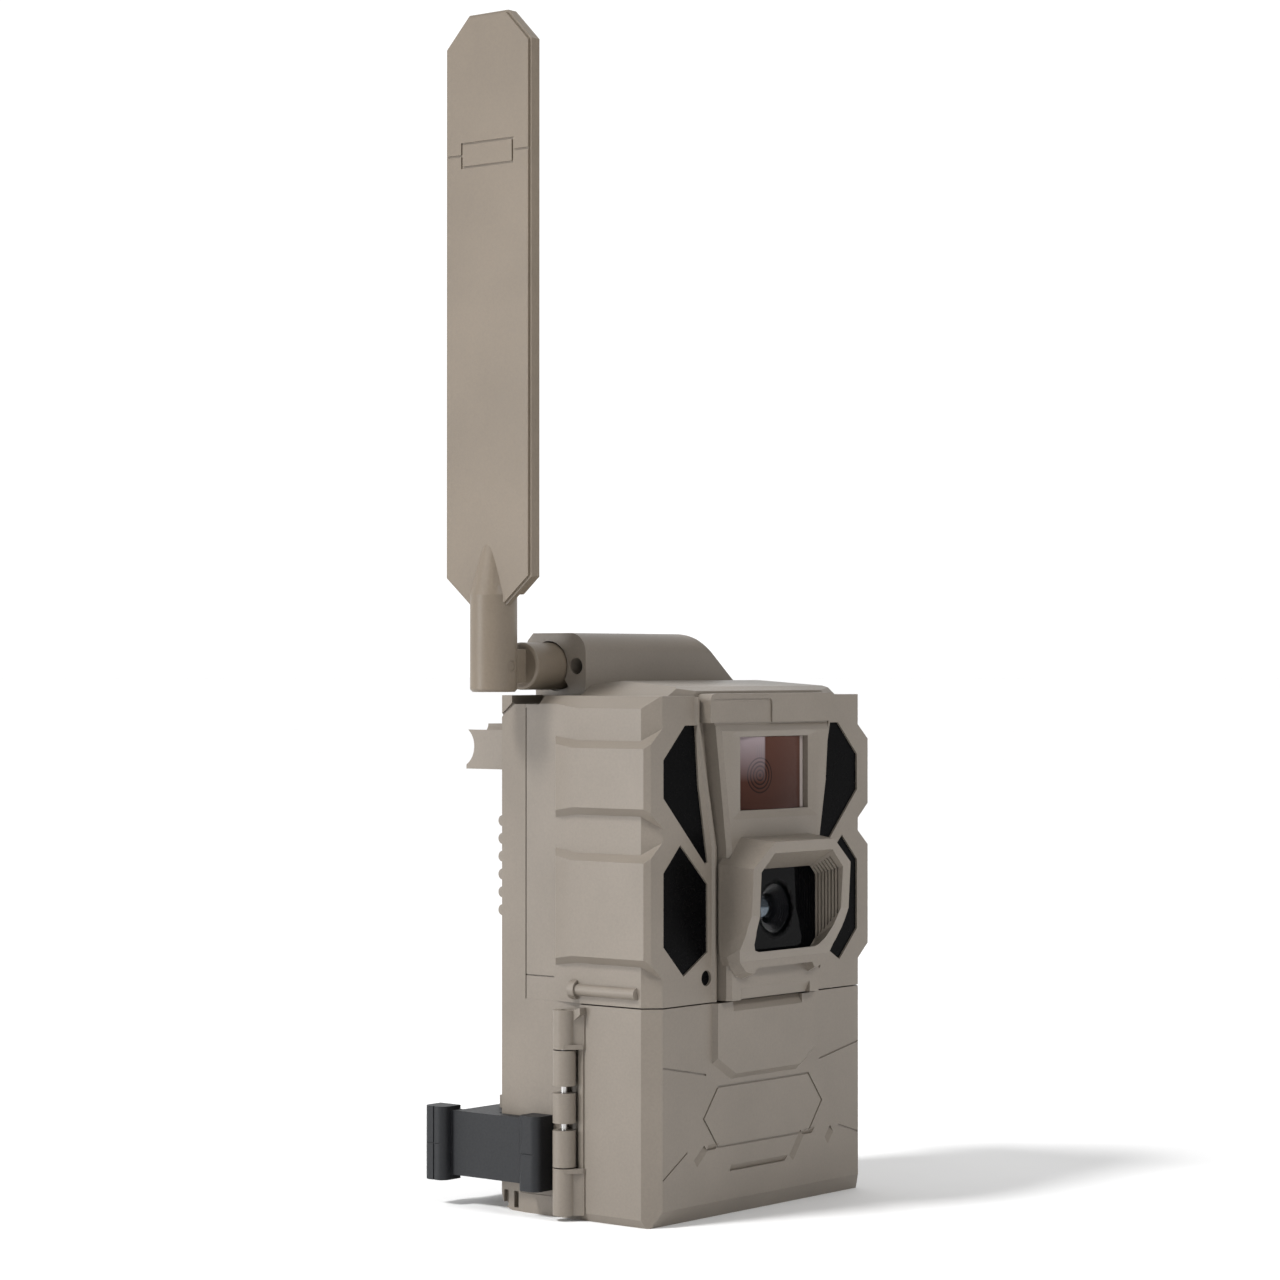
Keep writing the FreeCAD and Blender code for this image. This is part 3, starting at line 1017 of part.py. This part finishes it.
def strap_bracket():
    """The black bracket: a deep cross bar behind the case and an arm with two posts along each side."""
    solids = [box(-49.5, 49.5, BAR_Y, 47.4, 9.5, 25.0)]
    for side in (-1, 1):
        wing = sorted([side * 30.5, side * 49.5])
        arm = sorted([side * 46.85, side * 50.6])
        post = sorted([side * 46.85, side * 54.0])
        solids.append(box(wing[0], wing[1], LOOP_BACK_Y, 47.4, 9.5, 25.0))
        solids.append(box(arm[0], arm[1], 8.0, 49.4, 8.5, 26.3))
        solids.append(soft_post(post[0], post[1], 7.8, 15.1, 7.1, 27.4))
        solids.append(soft_post(post[0], post[1], 41.9, 49.5, 7.1, 27.4))
    cuts = [cyl("y", x, BAR_Y - 1, z, 1.6, 10) for x, z in PLATE_SCREWS[2:]]
    cuts += [cyl("y", x, 45.4, z, 3.0, 10) for x, z in PLATE_SCREWS[2:]]
    for left in (-54.1, 53.7):
        cuts += [box(left, left + 0.4, y, y + 7.6, 17.1, 17.35) for y in (7.7, 41.9)]
        cuts.append(box(left, left + 0.4, 45.2, 45.7, 7, 28))
    return join(solids).cut(Part.makeCompound(cuts))


def soft_post(x0, x1, y0, y1, z0, z1):
    """A post with its upright edges rounded."""
    post = box(x0, x1, y0, y1, z0, z1)
    outer = x0 if abs(x0) > abs(x1) else x1
    upright = [e for e in post.Edges if e.BoundBox.ZLength > 5 and abs(e.BoundBox.XMin - outer) < 0.01]
    return post.makeFillet(2.4, upright)


def back_screws():
    solids = []
    for (x, z), seat in zip(PLATE_SCREWS, (BACK_Y + 3.0, BACK_Y + 3.0, 45.4, 45.4)):
        head = cyl("y", x, seat, z, 2.7, 1.8)
        shank = cyl("y", x, BACK_Y - 2.2, z, 1.25, seat - BACK_Y + 2.3)
        solids.append(join([head, shank]).cut(cross_slot(x, seat + 1.8, z)))
    return solids


def grip_teeth():
    """Rows of small rounded teeth down the back of the case."""
    solids = []
    for row in range(6):
        z = 82.0 + 4.9 * row
        for left in (-45.4, 35.4):
            solids.append(cyl("x", left, BACK_Y, z, 1.5, 10.0))
    return solids


def tripod_insert():
    body = cyl("y", 0, BACK_Y - 9, 76, 4.5, 9.0)
    return body.cut(cyl("y", 0, BACK_Y - 8, 76, 2.55, 9))


def elbow_pin():
    return cyl("y", ELBOW_X, SWIVEL_Y - 6.1, SWIVEL_Z, 1.5, 12.2)


SINGLE_PARTS = {
    "front_housing": front_housing,
    "rear_housing": rear_housing,
    "antenna_mount_housing": antenna_mount,
    "center_column": center_column,
    "lens_hood": lens_hood,
    "ir_window_upper_right": lambda: ir_window(UPPER_WINDOW),
    "ir_window_lower_right": lambda: ir_window(LOWER_WINDOW),
    "ir_window_upper_left": lambda: mirror_x(ir_window(UPPER_WINDOW)),
    "ir_window_lower_left": lambda: mirror_x(ir_window(LOWER_WINDOW)),
    "pir_window": pir_window,
    "lens_glass": lens_glass,
    "lens_barrel": lens_barrel,
    "lens_element": lens_element,
    "lens_holder": lens_holder,
    "image_sensor_board": image_sensor_board,
    "pir_sensor": pir_sensor,
    "light_sensor_window": light_sensor_window,
    "microphone": microphone,
    "electronics_frame": electronics_frame,
    "main_board": main_board,
    "modem_module": modem_module,
    "housing_gasket": housing_gasket,
    "door_gasket": door_gasket,
    "battery_door": battery_door,
    "door_hinge_pin": hinge_pin,
    "latch_lever": latch_lever,
    "latch_pin": latch_pin,
    "battery_tray": battery_tray,
    "control_panel": control_panel,
    "control_board": control_board,
    "lcd_screen": lcd_screen,
    "button_up": lambda: button(BUTTONS["button_up"]),
    "button_select": lambda: button(BUTTONS["button_select"]),
    "button_down": lambda: button(BUTTONS["button_down"]),
    "power_switch": power_switch,
    "sd_socket": sd_socket,
    "sd_card": sd_card,
    "status_led": status_led,
    "power_jack": power_jack,
    "jack_plug": jack_plug,
    "tree_plate_upper": tree_plate_upper,
    "tree_foot_lower": tree_foot_lower,
    "strap_bracket": strap_bracket,
    "tripod_insert": tripod_insert,
    "antenna_sleeve": antenna_base,
    "swivel_clip": swivel_clip,
    "elbow_pin": elbow_pin,
    "antenna_mast": antenna_mast,
    "antenna_back_shell": antenna_back_shell,
    "antenna_radiator": antenna_radiator,
    "antenna_lead": antenna_lead,
    "lead_connector": lead_connector,
}
GROUPS = {
    "ir_led_boards": ir_led_boards,
    "ir_leds": ir_leds,
    "housing_screws": housing_screws,
    "aa_cells": aa_cells,
    "tray_contacts": tray_contacts,
    "power_contacts": power_contacts,
    "back_screws": back_screws,
}

for node, make in SINGLE_PARTS.items():
    save(node, make())
for node, make in GROUPS.items():
    save_group(node, make())
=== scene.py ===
import json
import math

import bpy
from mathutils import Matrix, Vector


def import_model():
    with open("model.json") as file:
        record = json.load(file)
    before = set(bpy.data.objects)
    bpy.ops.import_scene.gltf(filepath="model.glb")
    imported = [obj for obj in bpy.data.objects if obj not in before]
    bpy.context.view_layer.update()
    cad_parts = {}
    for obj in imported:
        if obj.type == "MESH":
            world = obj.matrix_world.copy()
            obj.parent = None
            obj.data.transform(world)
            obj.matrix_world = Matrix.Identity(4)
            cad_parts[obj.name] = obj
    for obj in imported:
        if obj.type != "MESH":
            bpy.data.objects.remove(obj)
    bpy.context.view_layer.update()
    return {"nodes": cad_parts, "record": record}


MM = 0.001
MIX_FIRST, MIX_SECOND, MIX_RESULT = 6, 7, 2    # the colour sockets of a Mix node

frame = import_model()
NODES = frame["nodes"]


# ---------------------------------------------------------------- materials

class Paint:
    """A node material: the shader, its object coordinates and short calls for the nodes used here."""

    def __init__(self, name):
        self.material = bpy.data.materials.new(name)
        self.material.use_nodes = True
        self.tree = self.material.node_tree
        self.shader = self.tree.nodes["Principled BSDF"]
        self.place = self.tree.nodes.new("ShaderNodeTexCoord").outputs["Object"]

    def link(self, source, target):
        self.tree.links.new(source, target)

    def noise(self, scale, detail=2.0, roughness=0.5, stretch=None):
        """Noise with features of about 1/scale metres."""
        node = self.tree.nodes.new("ShaderNodeTexNoise")
        node.inputs["Scale"].default_value = scale
        node.inputs["Detail"].default_value = detail
        node.inputs["Roughness"].default_value = roughness
        source = self.place
        if stretch:
            mapping = self.tree.nodes.new("ShaderNodeMapping")
            mapping.inputs["Scale"].default_value = stretch
            self.link(self.place, mapping.inputs["Vector"])
            source = mapping.outputs["Vector"]
        self.link(source, node.inputs["Vector"])
        return node.outputs["Fac"]

    def ramp(self, source, stops):
        node = self.tree.nodes.new("ShaderNodeValToRGB")
        while len(node.color_ramp.elements) < len(stops):
            node.color_ramp.elements.new(0.5)
        for element, (position, colour) in zip(node.color_ramp.elements, stops):
            element.position = position
            element.color = (*colour, 1.0)
        self.link(source, node.inputs["Fac"])
        return node.outputs["Color"]

    def span(self, source, low, high, from_low=0.3, from_high=0.7):
        node = self.tree.nodes.new("ShaderNodeMapRange")
        node.inputs["From Min"].default_value = from_low
        node.inputs["From Max"].default_value = from_high
        node.inputs["To Min"].default_value = low
        node.inputs["To Max"].default_value = high
        self.link(source, node.inputs["Value"])
        return node.outputs["Result"]

    def math(self, kind, first, second=0.0):
        node = self.tree.nodes.new("ShaderNodeMath")
        node.operation = kind
        for socket, value in zip(node.inputs, (first, second)):
            if isinstance(value, (int, float)):
                socket.default_value = value
            else:
                self.link(value, socket)
        return node.outputs["Value"]

    def mix(self, factor, first, second, kind="MIX"):
        node = self.tree.nodes.new("ShaderNodeMix")
        node.data_type = "RGBA"
        node.blend_type = kind
        inputs = node.inputs
        pairs = ((inputs["Factor"], factor), (inputs[MIX_FIRST], first), (inputs[MIX_SECOND], second))
        for socket, value in pairs:
            if isinstance(value, (int, float)):
                socket.default_value = value
            elif isinstance(value, tuple):
                socket.default_value = (*value, 1.0)
            else:
                self.link(value, socket)
        return node.outputs[MIX_RESULT]

    def axes(self):
        """The object coordinates as three separate values in metres."""
        node = self.tree.nodes.new("ShaderNodeSeparateXYZ")
        self.link(self.place, node.inputs["Vector"])
        return node.outputs["X"], node.outputs["Y"], node.outputs["Z"]

    def bump(self, height, distance, strength=1.0, under=None):
        node = self.tree.nodes.new("ShaderNodeBump")
        node.inputs["Strength"].default_value = strength
        node.inputs["Distance"].default_value = distance
        self.link(height, node.inputs["Height"])
        if under is not None:
            self.link(under, node.inputs["Normal"])
        return node.outputs["Normal"]

    def set(self, **values):
        for name, value in values.items():
            socket = self.shader.inputs[name.replace("_", " ")]
            if isinstance(value, tuple):
                socket.default_value = (*value, 1.0)
            elif isinstance(value, (int, float)):
                socket.default_value = value
            else:
                self.link(value, socket)
        return self.material


def shade(colour, factor):
    return tuple(c * factor for c in colour)


MOTTLE = 0.06         # how far moulded plastic strays from its colour
SMOOTH_MOTTLE = 0.05
GRAIN = 0.03 * MM     # depth of the spark-eroded texture


def moulded(name, colour, roughness):
    """Moulded plastic with a fine spark-eroded texture and faint mottling."""
    p = Paint(name)
    cloud = p.noise(35.0, 3.0)
    speck = p.noise(1400.0, 2.0, 0.6)
    tone = p.ramp(cloud, [(0.3, shade(colour, 1 - MOTTLE)), (0.7, shade(colour, 1 + MOTTLE))])
    fleck = p.ramp(speck, [(0.25, (0.90, 0.90, 0.90)), (0.75, (1.0, 1.0, 1.0))])
    skin = p.bump(speck, GRAIN, 0.7)
    skin = p.bump(p.noise(3200.0, 1.0), GRAIN * 0.6, 0.5, skin)
    return p.set(Base_Color=p.mix(1.0, tone, fleck, "MULTIPLY"), Normal=skin,
                 Roughness=p.span(speck, roughness - 0.05, roughness + 0.06), Specular_IOR_Level=0.42)


def smooth_plastic(name, colour, roughness, gloss=0.5):
    """Plain plastic or rubber with a nearly even surface."""
    p = Paint(name)
    cloud = p.noise(60.0, 3.0)
    fine = p.noise(900.0, 2.0)
    tone = p.ramp(cloud, [(0.3, shade(colour, 1 - SMOOTH_MOTTLE)), (0.7, shade(colour, 1 + SMOOTH_MOTTLE))])
    return p.set(Base_Color=tone, Roughness=p.span(fine, roughness * 0.85, roughness * 1.15),
                 Normal=p.bump(fine, 0.008 * MM, 0.5), Specular_IOR_Level=gloss)


def metal(name, colour, roughness, along="z"):
    """Drawn or turned metal with fine lines across the drawing direction."""
    p = Paint(name)
    stretch = {"z": (1.0, 1.0, 0.06), "y": (1.0, 0.06, 1.0)}[along]
    lines = p.noise(1800.0, 3.0, 0.6, stretch)
    tone = p.ramp(lines, [(0.3, shade(colour, 0.82)), (0.7, colour)])
    return p.set(Base_Color=tone, Metallic=1.0, Roughness=p.span(lines, roughness - 0.08, roughness + 0.1),
                 Normal=p.bump(lines, 0.006 * MM, 0.6))


def local_box(node):
    """Lowest and highest corner of a piece in its own coordinates."""
    corners = [v.co for v in node.data.vertices]
    return [min(c[k] for c in corners) for k in range(3)], [max(c[k] for c in corners) for k in range(3)]


def from_middle(p, node, right, up):
    """Distances along X and Z from a point given by its place right of and above the piece's middle."""
    low_corner, high_corner = local_box(node)
    x, _, z = p.axes()
    across = p.math("SUBTRACT", x, (low_corner[0] + high_corner[0]) / 2 + right)
    above = p.math("SUBTRACT", z, (low_corner[2] + high_corner[2]) / 2 + up)
    return across, above


def length(p, first, second):
    squares = p.math("ADD", p.math("MULTIPLY", first, first), p.math("MULTIPLY", second, second))
    return p.math("SQRT", squares)


FILM_HALF_WIDTH = 15.1 * MM
FILM_HALF_HEIGHT = 9.9 * MM
RINGS_LEFT = 6.3 * MM           # the rings' centre, left of and below the film's middle
RINGS_DOWN = 0.6 * MM
RINGS_RADIUS = 4.6 * MM
RINGS_FADE = 5.2 * MM
RING_FREQUENCY = 5600.0         # radians per metre
RIB_FREQUENCY = 7400.0
FILM_TOP_BROWN = (0.075, 0.031, 0.022)
FILM_LOW_BROWN = (0.042, 0.016, 0.011)
FILM_LINE = (0.012, 0.006, 0.005)
# The next two colours are a painted highlight: a pale reflection painted on the film's left part, and the
# darker ring lines inside it.
FILM_PAINTED_SHEEN = (0.34, 0.29, 0.31)
FILM_PAINTED_SHEEN_LINE = (0.05, 0.04, 0.045)
FILM_EDGE = (0.55, 0.50, 0.47)


def sensor_film():
    """The brown ribbed film of the motion sensor: Fresnel rings, fine upright ribs, and a painted highlight
    (a pale reflection painted over its left part, with the rings as darker lines in it).
    """
    p = Paint("sensor_film")
    low_corner, high_corner = local_box(NODES["pir_window"])
    middle_x = (low_corner[0] + high_corner[0]) / 2
    middle_z = (low_corner[2] + high_corner[2]) / 2
    x, _, z = p.axes()
    across = p.span(x, 0.0, 1.0, middle_x - FILM_HALF_WIDTH, middle_x + FILM_HALF_WIDTH)
    down = p.span(z, 1.0, 0.0, middle_z - FILM_HALF_HEIGHT, middle_z + FILM_HALF_HEIGHT)
    ring_x, ring_z = from_middle(p, NODES["pir_window"], -RINGS_LEFT, -RINGS_DOWN)
    radius = length(p, ring_x, ring_z)
    rings = p.math("SINE", p.math("MULTIPLY", radius, RING_FREQUENCY))
    inside = p.span(radius, 1.0, 0.0, RINGS_RADIUS, RINGS_FADE)
    ribs = p.math("SINE", p.math("MULTIPLY", x, RIB_FREQUENCY))
    above = p.math("MULTIPLY", p.span(down, 1.0, 0.0, 0.26, 0.30), p.span(down, 0.0, 1.0, 0.10, 0.14))
    near_ring = p.span(p.math("ABSOLUTE", ring_x), 1.0, 0.0, 1.6 * MM, 2.0 * MM)
    relief = p.math("ADD", p.math("MULTIPLY", rings, inside),
                    p.math("MULTIPLY", ribs, p.math("MULTIPLY", above, near_ring)))
    # Mask of the painted highlight: the film's left third, strongest at the top and fading towards the
    # bottom.
    painted_sheen = p.math("MULTIPLY", p.span(across, 1.0, 0.0, 0.345, 0.365), p.span(down, 1.0, 0.0, 0.05, 0.62))
    edge = p.span(across, 0.0, 1.0, 0.925, 0.95)
    base = p.ramp(p.math("ADD", down, p.math("MULTIPLY", p.noise(120.0), 0.2)),
                  [(0.0, FILM_TOP_BROWN), (1.0, FILM_LOW_BROWN)])
    lined = p.mix(p.span(relief, 0.0, 0.9, 0.0, 0.6), base, FILM_LINE)
    # The painted highlight is mixed into the colour here, then the ring lines are darkened inside it.
    lit = p.mix(p.math("MULTIPLY", painted_sheen, 0.7), lined, FILM_PAINTED_SHEEN)
    ring_lines = p.math("MULTIPLY", p.span(rings, 0.0, 0.9, 0.0, 0.6), inside)
    lit = p.mix(p.math("MULTIPLY", ring_lines, painted_sheen), lit, FILM_PAINTED_SHEEN_LINE)
    lit = p.mix(p.math("MULTIPLY", edge, 0.55), lit, FILM_EDGE)
    return p.set(Base_Color=lit, Roughness=p.span(p.noise(700.0), 0.28, 0.4), Specular_IOR_Level=0.06,
                 Normal=p.bump(relief, 0.03 * MM, 0.5))


CAN_METAL = (0.62, 0.62, 0.60)
SLEEVE_DARK = (0.03, 0.032, 0.036)
SLEEVE_GOLD = (0.50, 0.44, 0.34)
MASK_DARK = (0.006, 0.045, 0.018)
MASK_BRIGHT = (0.012, 0.085, 0.032)
MASK_MIDDLE = (0.006, 0.050, 0.02)
PAD_METAL = (0.45, 0.42, 0.36)


def cell_sleeve():
    """Battery sleeves: dark foil with a pale metal band at one end."""
    p = Paint("cell")
    _, _, z = p.axes()
    low_corner, high_corner = local_box(NODES["aa_cells"])
    height = p.span(z, 0.0, 1.0, low_corner[2], high_corner[2])
    scuff = p.noise(900.0, 3.0)
    bands = [(0.0, CAN_METAL), (0.06, SLEEVE_DARK), (0.66, SLEEVE_DARK)]
    bands += [(0.665, SLEEVE_GOLD), (0.97, CAN_METAL)]
    tone = p.ramp(p.math("ADD", height, p.math("MULTIPLY", scuff, 0.004)), bands)
    return p.set(Base_Color=tone, Metallic=0.7, Roughness=p.span(scuff, 0.26, 0.42))


def circuit_board():
    """Green solder mask with a faint pattern of copper tracks beneath and pale printed pads."""
    p = Paint("board")
    tracks = p.noise(420.0, 4.0, 0.7, (1.0, 1.0, 0.25))
    pads = p.noise(760.0, 1.0, 0.5, (1.0, 1.0, 1.0))
    mask = p.ramp(tracks, [(0.42, MASK_DARK), (0.5, MASK_BRIGHT), (0.58, MASK_MIDDLE)])
    colour = p.mix(p.span(pads, 0.0, 1.0, 0.70, 0.73), mask, PAD_METAL)
    skin = p.bump(tracks, 0.03 * MM, 0.5)
    return p.set(Base_Color=colour, Roughness=p.span(tracks, 0.3, 0.45), Normal=skin)


MASK_CLEAR_RADIUS = 6.8 * MM    # the lens window is clear inside this and black outside the next
MASK_BLACK_RADIUS = 8.4 * MM
MASK_LEFT = 1.0 * MM
MASK_UP = 0.1 * MM


def lens_glass_material():
    """The lens window: clear over the lens, printed black around it."""
    p = Paint("lens_glass")
    across, above = from_middle(p, NODES["lens_glass"], -MASK_LEFT, MASK_UP)
    radius = length(p, across, above)
    haze = p.noise(300.0, 2.0)
    p.material.blend_method = "BLEND"
    return p.set(Base_Color=(0.0015, 0.0016, 0.0019), Roughness=p.span(haze, 0.02, 0.05),
                 Specular_IOR_Level=0.05,
                 Alpha=p.span(radius, 0.10, 0.985, MASK_CLEAR_RADIUS, MASK_BLACK_RADIUS))


def lens_element_material():
    """A coated front element: dark glass with a cool, sharp shine."""
    p = Paint("lens_element")
    haze = p.noise(200.0, 1.0)
    return p.set(Base_Color=(0.16, 0.19, 0.22), Metallic=1.0, Roughness=p.span(haze, 0.14, 0.20))


TAUPE = (0.202, 0.174, 0.144)
ANTENNA_TAUPE = (0.176, 0.142, 0.106)
SLATE = (0.0078, 0.0088, 0.0112)

MATERIALS = {
    "housing": moulded("housing", TAUPE, 0.40),
    "window": smooth_plastic("window", (0.0016, 0.0016, 0.0018), 0.30, gloss=0.03),
    "sensor_film": sensor_film(),
    "black_plastic": moulded("black_plastic", (0.010, 0.010, 0.011), 0.5),
    "barrel_black": smooth_plastic("barrel_black", (0.0060, 0.0064, 0.0075), 0.22, gloss=0.5),
    "strap_black": moulded("strap_black", SLATE, 0.55),
    "board": circuit_board(),
    "steel": metal("steel", (0.62, 0.61, 0.60), 0.3),
    "brass": metal("brass", (0.72, 0.52, 0.24), 0.32, "y"),
    "seal": smooth_plastic("seal", (0.03, 0.03, 0.03), 0.7),
    "cable": smooth_plastic("cable", (0.02, 0.02, 0.02), 0.5),
    "cell": cell_sleeve(),
    "button_plastic": smooth_plastic("button_plastic", (0.10, 0.10, 0.10), 0.5),
    "led_resin": smooth_plastic("led_resin", (0.75, 0.75, 0.80), 0.15),
    "screen": smooth_plastic("screen", (0.03, 0.04, 0.05), 0.12),
    "lens_glass": lens_glass_material(),
    "lens_element": lens_element_material(),
    "pin_cap": moulded("pin_cap", shade(ANTENNA_TAUPE, 0.95), 0.5),
    "antenna": moulded("antenna", ANTENNA_TAUPE, 0.42),
}

# Pieces with a material of their own in place of their slot's.

OWN_MATERIAL = {
    "strap_bracket": "strap_black",
    "lens_barrel": "barrel_black",
    "lens_holder": "barrel_black",
    "lens_element": "lens_element",
    "elbow_pin": "pin_cap",
    "antenna_mast": "antenna",
    "antenna_back_shell": "antenna",
    "antenna_sleeve": "antenna",
}

for part in frame["record"]["subparts"]:
    node = NODES[part["node"]]
    node.data.materials.clear()
    node.data.materials.append(MATERIALS[OWN_MATERIAL.get(part["node"], part["material_slot"])])


# ---------------------------------------------------------------- edges of the CAD pieces

WELD_DISTANCE = 0.002 * MM
FLAT_ANGLE = 0.4      # degrees: faces flatter than this to each other are merged before the edges are rounded
ROUND_ANGLE = 12.0    # degrees: edges sharper than this are rounded


def soften(node, width):
    """Rounds a CAD piece's edges and shades it smoothly."""
    weld = node.modifiers.new("weld", "WELD")
    weld.merge_threshold = WELD_DISTANCE
    flat = node.modifiers.new("flat", "DECIMATE")
    flat.decimate_type = "DISSOLVE"
    flat.angle_limit = math.radians(FLAT_ANGLE)
    bevel = node.modifiers.new("bevel", "BEVEL")
    bevel.width = width
    bevel.segments = 2
    bevel.limit_method = "ANGLE"
    bevel.angle_limit = math.radians(ROUND_ANGLE)
    bevel.harden_normals = False
    node.modifiers.new("normals", "WEIGHTED_NORMAL")


# Width of the rounding of each piece's edges, in millimetres.
EDGES = {
    "front_housing": 0.4, "rear_housing": 0.4, "battery_door": 0.35, "antenna_mount_housing": 0.5,
    "center_column": 0.3, "lens_hood": 0.16, "strap_bracket": 0.8, "tree_plate_upper": 0.5,
    "tree_foot_lower": 0.5, "antenna_mast": 0.5, "antenna_back_shell": 0.5, "antenna_sleeve": 0.4,
    "latch_lever": 0.5,
}
for name, width in EDGES.items():
    soften(NODES[name], width * MM)


# ---------------------------------------------------------------- floor, light and camera

FLOOR_SIDES = 96
FLOOR_RADII = (0.5, 40.0)


def floor():
    """A wide, pale, round floor."""
    count = FLOOR_SIDES
    turns = [2 * math.pi * k / count for k in range(count)]
    points = [(radius * math.cos(turn), radius * math.sin(turn), 0.0)
              for radius in FLOOR_RADII for turn in turns]
    points.append((0.0, 0.0, 0.0))
    faces = [(len(points) - 1, k, (k + 1) % count) for k in range(count)]
    faces += [(k, count + k, count + (k + 1) % count, (k + 1) % count) for k in range(count)]
    mesh = bpy.data.meshes.new("floor")
    mesh.from_pydata(points, [], faces)
    for face in mesh.polygons:
        face.use_smooth = True
    obj = bpy.data.objects.new("floor", mesh)
    bpy.context.scene.collection.objects.link(obj)
    p = Paint("floor_paper")
    paper = p.noise(12.0, 3.0)
    tone = p.ramp(paper, [(0.3, (0.86, 0.86, 0.86)), (0.7, (0.90, 0.90, 0.90))])
    mesh.materials.append(p.set(Base_Color=tone, Roughness=0.9, Specular_IOR_Level=0.2))


def area_light(name, place, target, size, energy):
    data = bpy.data.lights.new(name, "AREA")
    data.shape = "RECTANGLE"
    data.size, data.size_y = size
    data.energy = energy
    lamp = bpy.data.objects.new(name, data)
    bpy.context.scene.collection.objects.link(lamp)
    lamp.location = place
    lamp.rotation_mode = "QUATERNION"
    lamp.rotation_quaternion = (Vector(target) - Vector(place)).to_track_quat("-Z", "Y")


def world(backdrop, room):
    """A white backdrop behind the object, and a dimmer room on the side the camera looks from."""
    scene_world = bpy.data.worlds.new("studio")
    scene_world.use_nodes = True
    tree = scene_world.node_tree
    direction = tree.nodes.new("ShaderNodeTexCoord").outputs["Generated"]
    facing = tree.nodes.new("ShaderNodeVectorMath")
    facing.operation = "DOT_PRODUCT"
    facing.inputs[1].default_value = (0.62, 0.78, 0.0)
    tree.links.new(direction, facing.inputs[0])
    blend = tree.nodes.new("ShaderNodeMapRange")
    blend.interpolation_type = "SMOOTHSTEP"
    blend.inputs["From Min"].default_value = -0.1
    blend.inputs["From Max"].default_value = 0.75
    blend.inputs["To Min"].default_value = room
    blend.inputs["To Max"].default_value = backdrop
    tree.links.new(facing.outputs["Value"], blend.inputs["Value"])
    sky = tree.nodes["Background"]
    sky.inputs["Color"].default_value = (1.0, 1.0, 1.0, 1.0)
    tree.links.new(blend.outputs["Result"], sky.inputs["Strength"])
    bpy.context.scene.world = scene_world


def sun_light(place, strength, angle):
    data = bpy.data.lights.new("sun", "SUN")
    data.energy = strength
    data.angle = math.radians(angle)
    lamp = bpy.data.objects.new("sun", data)
    bpy.context.scene.collection.objects.link(lamp)
    lamp.rotation_mode = "QUATERNION"
    lamp.rotation_quaternion = (-Vector(place)).to_track_quat("-Z", "Y")


CAMERA_AZIMUTH = -50.503
CAMERA_ELEVATION = -0.421
CAMERA_LENS = 95.67
CAMERA_SENSOR = 36.0
CAMERA_PLACE = Vector((-743.7, -596.9, 149.3)) * MM


def camera():
    azimuth, elevation = math.radians(CAMERA_AZIMUTH), math.radians(CAMERA_ELEVATION)
    back = Vector((math.sin(azimuth) * math.cos(elevation), -math.cos(azimuth) * math.cos(elevation),
                   math.sin(elevation)))
    data = bpy.data.cameras.new("camera")
    data.sensor_width = CAMERA_SENSOR
    data.lens = CAMERA_LENS
    data.clip_start = 0.01
    cam = bpy.data.objects.new("camera", data)
    bpy.context.scene.collection.objects.link(cam)
    cam.location = CAMERA_PLACE
    cam.rotation_mode = "QUATERNION"
    cam.rotation_quaternion = (-back).to_track_quat("-Z", "Y")
    bpy.context.scene.camera = cam


floor()
world(backdrop=1.1, room=0.27)
sun_light(place=(-0.95, 0.35, 1.2), strength=2.6, angle=12.0)
area_light("front", place=(-0.15, -1.45, 1.25), target=(0.0, 0.0, 0.12), size=(0.6, 0.4), energy=13.0)
area_light("rear", place=(-1.25, 0.72, 0.25), target=(0.0, 0.0, 0.08), size=(0.3, 0.8), energy=9.0)
camera()
bpy.context.scene.view_settings.view_transform = "Standard"
